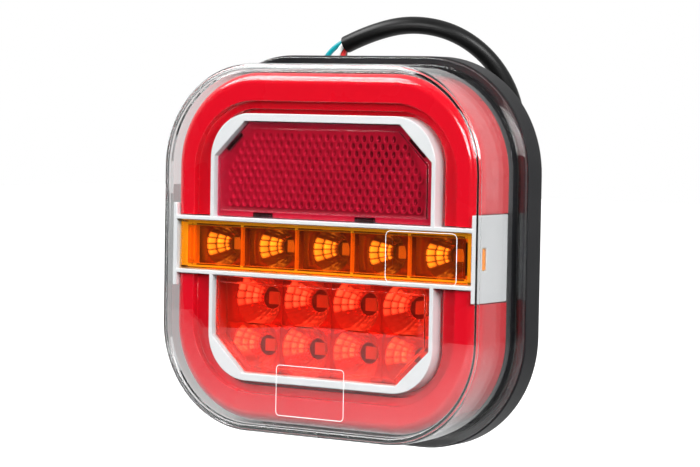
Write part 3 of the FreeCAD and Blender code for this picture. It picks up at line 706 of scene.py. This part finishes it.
@dataclass
class Studio:
    """The viewpoint, a pale floor, and soft light from the left, the front and the right."""

    yaw: float = 0.5831
    pitch: float = 0.0523
    roll: float = 0.017
    distance: float = 0.7376
    target: Colour = (-6.62 * MM, -1.5 * MM, 3.76 * MM)
    lens: float = 133.4
    floor_drop: float = 0.20
    floor_front: float = -1.66
    floor_back: float = 5.0
    floor_side: float = 4.0

    def camera(self) -> None:
        """A long lens, level but for a slight downward look and roll."""
        back = Vector((sin(self.yaw) * cos(self.pitch), -cos(self.yaw) * cos(self.pitch),
                       sin(self.pitch)))
        right = Vector((cos(self.yaw), sin(self.yaw), 0.0))
        up = back.cross(right)
        across = cos(self.roll) * right + sin(self.roll) * up
        upward = cos(self.roll) * up - sin(self.roll) * right
        turn = Matrix((across, upward, back)).transposed().to_4x4()
        data = bpy.data.cameras.new("Camera")
        data.lens = self.lens
        data.sensor_width = 36.0
        data.clip_start = 0.01
        data.clip_end = 50.0
        camera = enter("Camera", data)
        camera.matrix_world = Matrix.Translation(
            Vector(self.target) + back * self.distance) @ turn
        bpy.context.scene.camera = camera

    def floor(self) -> None:
        """A flat pale floor well below the lamp.

        Its front edge is y = front + 35 mm * sin(19 x) + 20 mm * sin(41 x + 1), x in metres.
        """
        paint = new_paint("Pale floor")
        cloud = paint.noise(3.0)
        seen = paint.ray("Is Camera Ray")
        material = paint.surface(paint.principled({
            "Base Color": paint.mix(cloud, (0.44, 0.44, 0.44), (0.47, 0.47, 0.47)),
            "Roughness": 0.7 + 0.1 * cloud,
            "Emission Color": paint.mix(seen, (0.1, 0.1, 0.1), (1.0, 1.0, 1.0)),
            "Emission Strength": 1.0,
        }))
        steps = 200
        x = np.tile(np.linspace(-1, 1, steps) * self.floor_side, (2, 1))
        y = np.array([[self.floor_front] * steps, [self.floor_back] * steps])
        y[0] += 0.035 * np.sin(19 * x[0]) + 0.02 * np.sin(41 * x[0] + 1)
        points = np.stack([x, y, np.full(x.shape, -self.floor_drop)], axis=-1)
        faces = grid_faces(2, steps, wrap_columns=False).tolist()
        new_piece("floor", points, faces, material, recalculate=False)

    def softbox(self, name: str, place: Colour, size: tuple[float, float],
                power: float) -> None:
        """A rectangular area light that looks at the lamp."""
        data = bpy.data.lights.new(name, "AREA")
        data.shape = "RECTANGLE"
        data.size, data.size_y = size
        data.energy = power
        light = enter(name, data)
        light.location = place
        light.rotation_euler = Vector(place).to_track_quat("Z", "Y").to_euler()

    def world(self) -> None:
        """White surroundings behind and beside the lamp, and a dark room in front of it."""
        world = bpy.data.worlds.new("Studio")
        bpy.context.scene.world = world
        paint = Paint(world)
        heading = paint.node("ShaderNodeTexCoord").outputs["Generated"]
        behind = paint.part(heading, 1).step(-0.50, -0.12)
        seen = paint.ray("Is Camera Ray")
        bright = 0.02 + 0.78 * behind
        strength = seen + (1 - seen) * bright
        node = paint.node("ShaderNodeBackground", {}, {
            "Color": (1.0, 1.0, 1.0), "Strength": strength})
        paint.node("ShaderNodeOutputWorld", {}, {"Surface": node.outputs[0]})

    def build(self) -> None:
        """Sets up the whole studio."""
        self.camera()
        self.floor()
        self.world()
        self.softbox("Key softbox", (-0.62, -0.45, 0.80), (0.85, 0.58), 16.5)
        self.softbox("Front softbox", (0.22, -1.50, 0.45), (0.5, 0.5), 13.0)
        self.softbox("Right softbox", (1.15, -0.55, 0.55), (0.75, 0.5), 22.0)
        view = bpy.context.scene.view_settings
        view.view_transform = "Standard"
        view.look = "None"
        paths = bpy.context.scene.cycles
        paths.max_bounces = 24
        paths.transmission_bounces = 24
        paths.glossy_bounces = 8
        paths.transparent_max_bounces = 24
        paths.caustics_reflective = False
        paths.caustics_refractive = False


# ---- cable


@dataclass
class Cable:
    """The jacketed cable, its four stripped wires and their twisted copper ends."""

    jacket: float = 5.0 * MM
    wire: float = 1.5 * MM
    jacket_route: list[Colour] = field(default_factory=lambda: [
        (0.0, 8.0, -18.0), (0.0, 24.0, -18.0), (3.0, 37.0, -10.5), (8.5, 44.5, 1.5),
        (15.0, 44.5, 15.5), (24.0, 39.0, 29.0), (27.5, 32.0, 41.5), (24.0, 25.0, 53.5),
        (15.5, 18.5, 61.5), (3.5, 13.5, 64.0), (-9.0, 10.5, 61.0), (-16.7, 10.2, 57.6)])
    wire_routes: dict[str, list[Colour]] = field(default_factory=lambda: {
        "wire_green": [
            (-17.45, 10.2, 58.5), (-20.8, 10.0, 57.0), (-24.6, 9.8, 52.4), (-26.0, 9.4, 46.0),
            (-25.0, 9.0, 38.5), (-22.4, 8.8, 31.5), (-21.6, 8.6, 24.5), (-23.2, 8.6, 18.0)],
        "wire_white": [
            (-17.0, 9.1, 57.5), (-18.2, 9.0, 56.1), (-19.6, 8.8, 53.2), (-20.4, 8.6, 47.2),
            (-19.6, 8.6, 40.2), (-18.0, 8.4, 33.4), (-17.4, 8.2, 26.6), (-18.6, 8.2, 20.2)],
        "wire_red": [
            (-16.95, 10.25, 56.45), (-18.0, 10.2, 54.8), (-18.1, 10.0, 51.6),
            (-16.9, 9.8, 46.6), (-15.2, 9.6, 40.6), (-14.6, 9.4, 33.8), (-15.4, 9.2, 27.0),
            (-16.8, 9.2, 20.6)],
        "wire_brown": [
            (-17.0, 11.3, 57.5), (-18.0, 11.6, 55.9), (-18.6, 11.9, 52.8),
            (-17.8, 11.9, 46.8), (-15.2, 11.6, 40.4), (-12.2, 11.2, 34.2),
            (-10.8, 10.8, 27.4), (-11.8, 10.6, 20.8)]})
    strand: float = 0.13 * MM
    strands_a_core: int = 7
    strand_points: tuple[int, int] = (14, 8)
    twist: float = 5.0
    core: float = 0.8 * MM
    core_length: float = 6.0 * MM

    def flex(self, name: str, route: list[Colour], diameter: float,
             material: bpy.types.Material) -> bpy.types.Object:
        """A round cord along a smooth curve through its route's control points."""
        curve = bpy.data.curves.new(name, "CURVE")
        curve.dimensions = "3D"
        curve.bevel_depth = diameter / 2
        curve.bevel_resolution = 6
        curve.resolution_u = 10
        curve.use_fill_caps = True
        line = curve.splines.new("NURBS")
        line.points.add(len(route) - 1)
        for point, place in zip(line.points, route):
            point.co = (*(MM * Vector(place)), 1.0)
        line.order_u = 3
        line.use_endpoint_u = True
        curve.materials.append(material)
        return enter(name, curve)

    def strands(self) -> bpy.types.Object:
        """Seven twisted copper strands at the end of each wire.

        A strand's line is end + s * heading + q * (cos(p) * a + sin(p) * b), with p turning
        along s and q its distance from the middle; its skin is a small circle round that.
        """
        routes = [np.array(route) * MM for route in self.wire_routes.values()]
        ends = np.array([route[-1] for route in routes])
        heading = np.array([route[-1] - route[-2] for route in routes])
        heading /= np.linalg.norm(heading, axis=1, keepdims=True)
        side = np.cross(heading, (0.0, 1.0, 0.0))
        side /= np.linalg.norm(side, axis=1, keepdims=True)
        other = np.cross(heading, side)
        steps, around = self.strand_points
        s = np.linspace(0, 1, steps)
        number = np.arange(self.strands_a_core)
        spread = np.where(number == 0, 0.0, self.core / 2 - self.strand)[:, None]
        phase = number[:, None] * pi / 3 + self.twist * s
        round_angle = np.arange(around) * 2 * pi / around
        u = (spread * np.cos(phase))[..., None] + self.strand * np.cos(round_angle)
        v = (spread * np.sin(phase))[..., None] + self.strand * np.sin(round_angle)
        along = (s * self.core_length)[None, :, None] + 0 * u
        points = (ends[:, None, None, None]
                  + along[None, ..., None] * heading[:, None, None, None]
                  + u[None, ..., None] * side[:, None, None, None]
                  + v[None, ..., None] * other[:, None, None, None])
        first = np.arange(len(routes) * len(number)) * steps * around
        start = np.arange(around)[None]
        faces = repeated(grid_faces(steps, around), first) + repeated(start, first)
        faces += repeated(start + (steps - 1) * around, first)
        return new_piece("copper_strands", points, faces, COPPER.material())

    def build(self) -> None:
        """Lays the cords."""
        jacket = seat(self.flex("cable", self.jacket_route, self.jacket, SHEATH.material()),
                      "cable_pvc", "cable_jacket")
        seat(self.strands(), "copper", "wire_tips")
        for node, route in self.wire_routes.items():
            cord = seat(self.flex(f"{node}_cord", route, self.wire, WIRES[node].material()),
                        node, node)


# ---- cover and housing


def lengthened(rings: np.ndarray, ends: np.ndarray) -> np.ndarray:
    """Open rings carried on to a point at either end, sliced across to be skinned."""
    return np.concatenate([ends[:, :1], rings, ends[:, 1:]], axis=1).swapaxes(0, 1)


@dataclass
class Cover:
    """The clear cover with its flange, and the blank engraved frames on its front."""

    corner: float = 29.5 * MM
    wall: float = 2.0 * MM
    edge: float = 1.9 * MM
    inner_edge: float = 0.7 * MM
    flange_back: float = 8.03 * MM
    flange_thickness: float = 1.37 * MM
    flange_reach: float = 2.2 * MM
    engraving: float = 0.085 * MM
    bead: float = 0.62 * MM
    bead_inset: float = 1.25 * MM
    bead_drop: float = 1.35 * MM
    highlight_strip_depth: tuple[float, float] = (9.9 * MM, 10.2 * MM)
    highlight_strip_inset: tuple[float, float] = (0.12 * MM, 1.88 * MM)
    highlight_strip_top: float = 45 * MM
    highlight_strip_bottom: float = 14 * MM

    def build(self) -> None:
        """One closed skin: foot, flange, wall and front outside, front and wall inside.

        A round bead runs inside the front edge, with (inset + r * cos t, front - drop
        + r * sin t) as the points of its section. A frosted white strip, a painted highlight of
        the cover's wall, runs along the left of the foot and on along its top and bottom.
        """
        low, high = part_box("clear_lens")
        front = -low.y
        foot = -high.y
        wide = self.flange_reach
        top = self.flange_back + self.flange_thickness
        plan = Plan(high.x - wide, high.z - wide, self.corner)
        profile = filleted([
            (self.wall, foot, 0), (0.0, foot, 0.2 * MM), (0.0, self.flange_back, 0.05 * MM),
            (-wide, self.flange_back, 0.1 * MM), (-wide, top, 0.45 * MM), (0.0, top, 0.35 * MM),
            (0.0, front, self.edge), (self.corner * 0.5, front, 0)])
        inside = filleted([
            (self.corner * 0.5, front - self.wall, 0),
            (self.wall, front - self.wall, self.inner_edge), (self.wall, foot, 0)])
        rings = plan.rings(np.concatenate([profile, inside]))
        count, around = rings.shape[:2]
        faces = grid_faces(count, around).tolist()
        seam = (len(profile) - 1) * around
        del faces[seam:seam + around]
        faces += [list(range(start, start + around)) for start in (seam, seam + around)]
        seat(new_piece("cover", rings, faces, COVER.material(), 50.0), "clear_plastic",
             "clear_lens")
        # Painted highlight: a white strip in the cover's foot stands for light seen in its wall.
        (outer, inner), (back, face) = self.highlight_strip_inset, self.highlight_strip_depth
        weld = np.array([(outer, back), (outer, face), (inner, face), (inner, back)])
        left = plan.rings(weld)[:, CORNER_STEPS:3 * CORNER_STEPS]
        ends = left[:, [0, -1]] + np.array([(self.highlight_strip_top, 0, 0), (self.highlight_strip_bottom, 0, 0)])
        seat(moulding("painted_wall_highlight", lengthened(left, ends), MARK.material()), "clear_plastic")
        turn = np.linspace(0, 2 * pi, 16, endpoint=False)
        bead = np.stack([self.bead_inset + self.bead * np.cos(turn),
                         front - self.bead_drop + self.bead * np.sin(turn)], axis=1)
        seat(moulding("edge_bead", plan.rings(bead), BEAD.material(), "loop", 60.0),
             "clear_plastic")
        for name, sizes in (("approval_frame", (11.25, 7.0, 1.5, 34.3, -0.15)),
                            ("maker_frame", (11.3, 7.1, 1.2, -0.9, -39.0))):
            self.frame(name, Plan(*(size * MM for size in sizes)), front)

    def frame(self, name: str, plan: Plan, front: float) -> None:
        """A thin frosted line in the shape of a plan, just proud of the cover's front."""
        half = self.engraving
        low, high = front - half * 0.2, front + half * 0.25
        profile = np.array([(0.0, low), (half * 0.3, high), (half * 1.7, high), (half * 2, low)])
        seat(moulding(name, plan.rings(profile, 8), MARK.material(), "loop"), "clear_plastic")


@dataclass
class Housing:
    """Black tray, rubber parts, studs and everything that shows from behind."""

    edge: float = 0.35 * MM
    half_pitch: float = 22.5 * MM
    stud_radius: float = 2.5 * MM
    stud_start: float = -1.0 * MM
    thread_pitch: float = 0.8 * MM
    thread_height: float = 0.42 * MM
    lead_in: float = 0.9 * MM
    turns: int = 22
    cable_radius: float = 2.52 * MM

    def stud(self, name: str, x: float) -> bpy.types.Object:
        """A threaded stud.

        Its radius is r0 - h * |2 * frac(y / pitch - a / 2 pi) - 1|, a triangular thread that
        climbs one pitch a turn. It narrows at its outer end, and both ends are closed.
        """
        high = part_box("mounting_studs")[1]
        y = np.linspace(self.stud_start, high.y, self.turns * 10)[:, None]
        angle = np.linspace(0, 2 * pi, 40, endpoint=False)[None]
        wave = np.abs(2 * ((y / self.thread_pitch - angle / (2 * pi)) % 1.0) - 1)
        lead_in = ((high.y - y) / self.lead_in).clip(0, 1) ** 0.8
        r = (self.stud_radius - self.thread_height * wave) * (0.72 + 0.28 * lead_in)
        r[0] = r[-1] = 0.0
        points = np.stack([x + r * np.cos(angle), y + 0 * r, r * np.sin(angle)], axis=-1)
        return new_piece(name, points, grid_faces(*r.shape).tolist(), ZINC.material(), 25.0)

    def build(self) -> None:
        """Dresses the tray and its hardware."""
        seat(softened("housing_base", "housing", self.edge, HOUSING.material()),
             "black_plastic", "housing_base")
        seat(self.stud("stud_left", -self.half_pitch), "steel_zinc", "mounting_studs")
        seat(self.stud("stud_right", self.half_pitch), "steel_zinc")
        seat(self.strain_relief(), "black_rubber", "cable_grommet")

    def strain_relief(self) -> bpy.types.Object:
        """The ribbed rubber bush round the cable.

        It is turned about the cable's axis: radius against distance behind the back face,
        with four square-shouldered ribs on the taper.
        """
        low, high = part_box("cable_grommet")
        z = (low.z + high.z) / 2
        start, end = -2.5, 8.0
        bore = self.cable_radius / MM
        profile = np.array([
            (4.5, start), (4.5, 0.3), (4.45, 0.3), (4.45, 1.5), (3.7, 1.7), (3.7, 2.3),
            (4.25, 2.5), (4.25, 3.4), (3.55, 3.6), (3.55, 4.2), (4.0, 4.4), (4.0, 5.3),
            (3.4, 5.5), (3.4, 6.1), (3.75, 6.3), (3.7, 7.6), (3.3, end), (bore, end),
            (bore, start)]) * MM
        angle = np.linspace(0, 2 * pi, 48, endpoint=False)
        r = profile[:, :1]
        points = np.stack([r * np.cos(angle), profile[:, 1:] + 0 * r * angle,
                           z + r * np.sin(angle)], axis=-1)
        faces = grid_faces(len(profile), 48, wrap_rows=True).tolist()
        return new_piece("strain_relief", points, faces, RUBBER.material())


# ---- windows


def window_corners(level: Level, shrink: float) -> np.ndarray:
    """A window's chamfered outline, anticlockwise, as seen from the front.

    Args:
        level: which window.
        shrink: how far inside the bezel's opening.

    Returns:
        An array of (x, z).
    """
    x = 35.95 * MM
    low = 8.25 * MM
    high = 35.35 * MM
    across = 10.4 * MM
    up = 10.0 * MM
    corners = np.array([(x, low), (x, high - up), (x - across, high), (across - x, high),
                        (-x, high - up), (-x, low)])
    if level is Level.LOWER:
        corners = (corners * (1, -1))[::-1]
    return polygon_rings(corners, np.array([(shrink, 0.0)]))[0][:, [0, 2]]


def window_pane(name: str, level: Level, back: float, front: float,
                finish: Clear) -> bpy.types.Object:
    """A see-through pane with a raised middle inside a lower border."""
    border, rise = 1.6 * MM, 0.6 * MM
    soft = 0.22 * MM
    ledge = front - rise
    profile = filleted([
        (1.2 * MM, back, 0), (0.0, back, 0.05 * MM), (0.0, ledge, soft), (border, ledge, soft),
        (border + 0.15 * MM, front, soft), (4.0 * MM, front, 0)], 5)
    rings = polygon_rings(window_corners(level, PANE_GAP), profile)
    return moulding(name, rings, finish.material(), sharp=60.0)


@dataclass
class Cups:
    """A row or block of metallised reflector cups, each round one LED.

    Every cup is a paraboloid from its throat to its mouth, broken into pillow-shaped facets,
    with flat land out to the edges of its cell.
    """

    name: str
    centres: np.ndarray
    cells: np.ndarray
    throat: float
    mouth: float
    front: float
    back: float = 12.6 * MM
    rings: int = 4
    sectors: int = 20
    lit: float = pi
    pillow: float = 0.28 * MM
    fine: int = 5
    wall: float = 0.35 * MM

    def build(self, material: bpy.types.Material, planes: np.ndarray) -> bpy.types.Object:
        """Computes all cups at once.

        At angle a and share u of the way out, the radius is throat + u * (mouth - throat) and
        the depth rises with the square of the radius; each facet adds a pillow
        (1 - p^2) * (1 - q^2), with p and q running from -1 to 1 over it. The land runs from
        the mouth to the nearest of the cell's sides and of the window's planes. The facets
        within 36 degrees of the lit direction keep a painted glint, which the material emits as
        light: a square that grows brighter outwards, times a share
        0.3 + 0.7 * frac(43758.5 * sin(13 i + 78.2 j)) for facet (i, j).
        A modifier gives the sheet its thickness.

        Args:
            material: the finish.
            planes: array of (nx, nz, reach) that bound the whole block.

        Returns:
            The new object.
        """
        u = np.linspace(0, 1, self.rings * self.fine + 1)[:, None]
        count = self.sectors * self.fine
        turn = np.arange(count)[None] / count
        angle = turn * 2 * pi
        radius = self.throat + u * (self.mouth - self.throat)
        square = (radius**2 - self.throat**2) / (self.mouth**2 - self.throat**2)
        outwards = u * self.rings * BELOW_ONE
        p = 2 * (outwards % 1) - 1
        q = 2 * ((turn * self.sectors) % 1) - 1
        fade = np.minimum(1, 6 * u * (1 - u) * 2)
        depth = self.back + (self.front - self.back) * square
        depth = depth - self.pillow * (1 - p**2) * (1 - q**2) * fade
        radius = radius + 0 * angle
        way = np.stack([np.cos(angle[0]), np.sin(angle[0])], axis=-1)
        sides = np.array([(1, 0), (-1, 0), (0, 1), (0, -1)])
        room = self.cells[:, [1, 0, 3, 2]] * (1, -1, 1, -1)
        room = room - self.centres @ sides.T
        limit = room[:, None, :] / (way @ sides.T).clip(TINY)[None]
        reach = planes[:, 2][None] - self.centres @ planes[:, :2].T
        slant = reach[:, None, :] / (way @ planes[:, :2].T).clip(TINY)[None]
        edge = np.minimum(limit.min(axis=-1), slant.min(axis=-1))
        wide = np.minimum(radius[None], edge[:, None, :])
        cup = np.stack([
            self.centres[:, 0][:, None, None] + wide * way[:, 0],
            -np.broadcast_to(depth, wide.shape),
            self.centres[:, 1][:, None, None] + wide * way[:, 1]], axis=-1)
        rim = cup[:, -1:].copy()
        land = np.stack([self.centres[:, :1] + edge * way[:, 0], 0 * edge - self.front,
                         self.centres[:, 1:] + edge * way[:, 1]], axis=-1)[:, None]
        rim[..., 1] = -self.front
        points = np.concatenate([cup, rim, land], axis=1)
        rows = points.shape[1]
        faces = repeated(grid_faces(rows, count)[:, ::-1],
                         np.arange(len(self.centres)) * rows * count)
        piece = new_piece(self.name, points, faces, material, 24.0, recalculate=False,
                          weld=False)
        # Painted glints: bright facet squares on the lit side, emitted by the material as light.
        away = np.abs((angle - self.lit + pi) % (2 * pi) - pi)
        wedge = ((radians(36) - away) / radians(8)).clip(0, 1) * ((u - 0.12) / 0.15).clip(0, 1)
        square_spot = ((np.minimum(1 - np.abs(p), 1 - np.abs(q)) - 0.12) / 0.2).clip(0, 1)
        number = 13 * np.floor(outwards) + 78.2 * np.floor(turn * self.sectors)
        chance = 43758.5 * np.sin(number) % 1
        painted_glint = wedge * square_spot * (0.7 + 0.3 * p) * (0.3 + 0.7 * chance)
        painted_glint = np.concatenate([painted_glint, np.zeros((2, count))])
        store_numbers(piece, "painted_glint", np.tile(painted_glint.ravel(), len(self.centres)))
        solid = piece.modifiers.new("Wall", "SOLIDIFY")
        solid.thickness = self.wall
        solid.offset = -1.0
        return piece


@dataclass
class Windows:
    """The red panes, the honeycomb reflector, the stop cups and the amber strip."""

    pane_front: float = 25.9 * MM
    pitch: float = 2.4 * MM
    margin: float = 2.2 * MM
    side_margin: float = 2.6 * MM
    bar_half: float = 46.2 * MM

    def honeycomb(self) -> bpy.types.Object:
        """Back plate of the upper window with a tall oval pit in each cell of a honeycomb.

        Cell centres lie at (i + (j mod 2) / 2, 0.866 j) times the pitch. A ring of a cell is
        centre + pitch * (a * cos t, b * sin t), from a circle half a pitch in radius at its rim
        to a narrow oval, and each ring is sunk further than the last.
        """
        outline = window_corners(Level.UPPER, PANE_GAP)
        back, face, middle = 21.7 * MM, 24.0 * MM, 4 * MM
        rim, pit_shade_below, fade = 0.85 * MM, 0.80 * MM, 0.28 * MM
        plate = polygon_rings(outline, filleted([
            (middle, back, 0), (0.0, back, 0), (0.0, face, 0.1 * MM), (middle, face, 0)], 3))
        faces = capped(*plate.shape[:2])
        lines = edge_lines(outline)
        normal = lines[:, :2]
        i, j = np.meshgrid(np.arange(-40, 41), np.arange(-16, 40), indexing="ij")
        x = (i + 0.5 * (j % 2)) * self.pitch
        z = j * self.pitch * 0.866
        centres = np.stack([x.ravel(), z.ravel()], axis=1)
        upright = np.abs(normal[:, 0]) > 0.9
        margin = np.where(upright, self.side_margin, self.margin) + self.pitch * 0.5
        centres = centres[((lines[:, 2] - centres @ normal.T) > margin).all(axis=1)]
        sides = 12
        turn = (np.arange(sides) + 0.5) * 2 * pi / sides
        star = np.stack([np.cos(turn), np.sin(turn)], axis=1)
        rings = np.array([(0.50, 0.50, 0.0), (0.30, 0.42, 0.05), (0.22, 0.36, 0.35),
                          (0.10, 0.22, 0.62), (0.0, 0.0, 0.72)])
        spread = rings[:, None, :2] * star[None] * self.pitch
        flat = centres[:, None, None] + spread[None]
        depth = (face + rim) - rings[None, :, 2:] * MM + 0 * flat[..., 0]
        points = np.stack([flat[..., 0], -depth, flat[..., 1]], axis=-1)
        first = plate[..., 0].size + np.arange(len(centres)) * len(rings) * sides
        faces += repeated(grid_faces(len(rings), sides), first)
        everything = np.concatenate([plate.reshape(-1, 3), points.reshape(-1, 3)])
        piece = new_piece("retro_prisms", everything, faces, PRISMS.material(), 18.0,
                          recalculate=False)
        place = np.zeros(len(piece.data.vertices) * 3)
        piece.data.vertices.foreach_get("co", place)
        y = place.reshape(-1, 3)[:, 1]
        # Painted shade in the pits: full at this depth below the face, kept for the material.
        sunk = (((face + pit_shade_below) + y) / fade).clip(0, 1)
        store_numbers(piece, "pit", np.where(-y > face + 0.01 * MM, sunk, 0.0))
        return piece

    def clips(self) -> bpy.types.Object:
        """Four dark catches of the upper window, two on its base and two on its chamfers."""
        tilt = 0.765
        return blocks("retro_catches", np.array([
            (-20.5, 9.2, 3.1, 0.6, 24.0, 24.9, 0.0), (13.5, 9.2, 3.1, 0.6, 24.0, 24.9, 0.0),
            (-30.3, 29.3, 3.2, 0.7, 24.0, 24.9, tilt), (30.3, 29.3, 3.2, 0.7, 24.0, 24.9, -tilt),
        ]), HOUSING.material(), 0.1)

    def ribs(self) -> bpy.types.Object:
        """What stands behind the amber front: rails, dividers and a stepped block at each end."""
        rows = [(0.0, side * 6.25, 46.4, 0.28, 21.0, 24.0, 0.0) for side in (-1, 1)]
        rows += [(x, 0.0, 0.28, 5.9, 22.6, 24.0, 0.0) for x in (-27.75, -9.25, 9.25, 27.75)]
        for side in (-1, 1):
            rows += [
                (side * 47.5, 0.0, 1.1, 6.2, 20.6, 24.4, 0.0),
                (side * 46.0, 0.0, 0.40, 4.6, 20.6, 23.2, 0.0),
                (side * 45.1, 0.0, 0.30, 5.9, 20.6, 22.4, 0.0),
            ]
        return blocks("amber_ribs", np.array(rows), AMBER.material(), 0.12)

    def slot_shade_blocks(self) -> bpy.types.Object:
        """Black blocks that paint the shade in the slots between the end blocks and the bezel's
        tabs, two right and one left.
        """
        return blocks("amber_slot_shade", np.array([
            (48.0, 0.0, 0.35, 3.3, 22.0, 24.7, 0.0), (46.1, 0.0, 0.22, 4.4, 23.0, 24.7, 0.0),
            (-48.3, 0.0, 0.2, 3.3, 22.0, 24.0, 0.0)]), HOUSING.material(), 0.08)

    def stop(self) -> None:
        """The stop cups behind their red pane: two rows of four, each with its own pitch."""
        side, centres, cells = 35.6, [], []
        for pitch, z, bottom, top in ((16.4, -15.1, -21.8, -8.6), (17.1, -28.5, -35.0, -21.8)):
            walls = (-side, -pitch, 0.0, pitch, side)
            centres += [(k * pitch, z) for k in (-1.5, -0.5, 0.5, 1.5)]
            cells += [(a, b, bottom, top) for a, b in zip(walls, walls[1:])]
        planes = edge_lines(window_corners(Level.LOWER, 0.35 * MM))
        cups = Cups("stop_cups", np.array(centres) * MM, np.array(cells) * MM,
                    throat=2.9 * MM, mouth=7.6 * MM, front=19.4 * MM, lit=radians(163))
        seat(cups.build(SATIN_MIRROR.material(), planes), "metallised", "stop_reflector")
        pane = window_pane("stop_pane", Level.LOWER, 23.9 * MM, self.pane_front, STOP_GLASS)
        seat(pane, "red_lens", "stop_lens")

    def amber(self) -> None:
        """The amber strip, its dividers and end blocks, and the cups behind it."""
        across = 18.4
        x = (np.arange(5) - 2) * across
        centres = np.stack([x, 0 * x], axis=1) * MM
        half = 6.75
        cells = np.stack([x - across / 2, x + across / 2, 0 * x - half, 0 * x + half],
                         axis=1) * MM
        far = self.bar_half
        cells[0, 0], cells[-1, 1] = -far, far
        planes = np.array([(1.0, 0.0, far), (-1.0, 0.0, far)])
        cups = Cups("indicator_cups", centres, cells, throat=2.6 * MM, mouth=6.1 * MM,
                    front=20.0 * MM, rings=3)
        seat(cups.build(MIRROR.material(), planes), "metallised", "indicator_reflector")
        seat(softened("indicator_lens", "amber_strip", 0.25 * MM, AMBER_GLASS.material(), 3),
             "amber_lens", "indicator_lens")
        seat(self.ribs(), "amber_lens")
        # Painted shade: black blocks fill the slots beside the end blocks.
        seat(self.slot_shade_blocks(), "black_plastic")

    def build(self) -> None:
        """Fits both windows and the strip."""
        seat(self.honeycomb(), "red_lens", "retro_backing")
        pane = window_pane("retro_pane", Level.UPPER, 25.0 * MM, self.pane_front, RETRO_GLASS)
        seat(pane, "red_lens", "retro_reflector")
        seat(self.clips(), "black_plastic")
        self.stop()
        self.amber()


# ---- bezel, guides and insides


@dataclass
class Inside:
    """White bezel, red light guides, LEDs, and the parts that stay as packed."""

    edge: float = 0.22 * MM
    web_steps: int = 14
    bar_edge: float = 8.8 * MM

    def web(self, name: str, side: int, material: bpy.types.Material) -> bpy.types.Object:
        """The thin ledge of a light guide that closes the gap down to the bezel.

        It follows half of a plan from one end to the other: the plan's first two corners,
        with both ends carried straight on to the bar, and z turned over for the lower guide.

        Args:
            name: the piece's name.
            side: 1 for the upper guide, -1 for the lower.
            material: its finish.

        Returns:
            The new object.
        """
        outer, inner, back, front = 0.02, 1.22, 19.0, 21.6
        section = np.array([(outer, back), (outer, front), (inner, front), (inner, back)]) * MM
        gap = Plan(38.45 * MM, 38.75 * MM, 14.25 * MM)
        half = gap.rings(section, self.web_steps)[:, :2 * self.web_steps]
        ends = half[:, [0, -1]].copy()
        ends[..., 2] = self.bar_edge
        return moulding(name, lengthened(half, ends) * (1, 1, side), material)

    def dress(self, finish: Any, *nodes: str) -> None:
        """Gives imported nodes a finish."""
        material = finish.material()
        for name in nodes:
            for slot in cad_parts[name].material_slots:
                slot.material = material
            LOG.info("%s: %s", name, material.name)

    def build(self) -> None:
        """Dresses every piece."""
        seat(softened("bezel_frame", "bezel", self.edge, BEZEL.material(), 3),
             "white_plastic", "bezel_frame")
        for side, sign in (("upper", 1), ("lower", -1)):
            seat(softened(f"tail_guide_{side}", f"light_guide_{side}", self.edge,
                          GUIDE.material(), 3), "red_diffuser", f"tail_guide_{side}")
            seat(self.web(f"guide_ledge_{side}", sign, GUIDE.material()), "red_diffuser")
        for kind in ("stop", "indicator", "tail"):
            seat(softened(f"{kind}_leds", f"{kind}_diodes", 0.12 * MM, LED_BODY.material()),
                 "led_body", f"{kind}_leds")
        for finish, *nodes in (
                (BOARD, "circuit_board"), (RUBBER, "perimeter_gasket"), (RESIN, "cable_potting"),
                (SHEATH, "cable_inner"), (CHIP, "driver_chips", "resistors", "diodes"),
                (ALUMINIUM, "capacitor"), (ZINC, "board_screws")):
            self.dress(finish, *nodes)
        for wire, finish in WIRES.items():
            self.dress(finish, wire.replace("wire", "lead"))


def main() -> None:
    """Builds the studio and the lamp."""
    logging.basicConfig(level=logging.INFO, format="%(message)s")
    for assembly in (Studio(), Cable(), Cover(), Housing(), Inside(), Windows()):
        LOG.info("building %s", type(assembly).__name__)
        assembly.build()


if __name__ == "__main__":
    main()
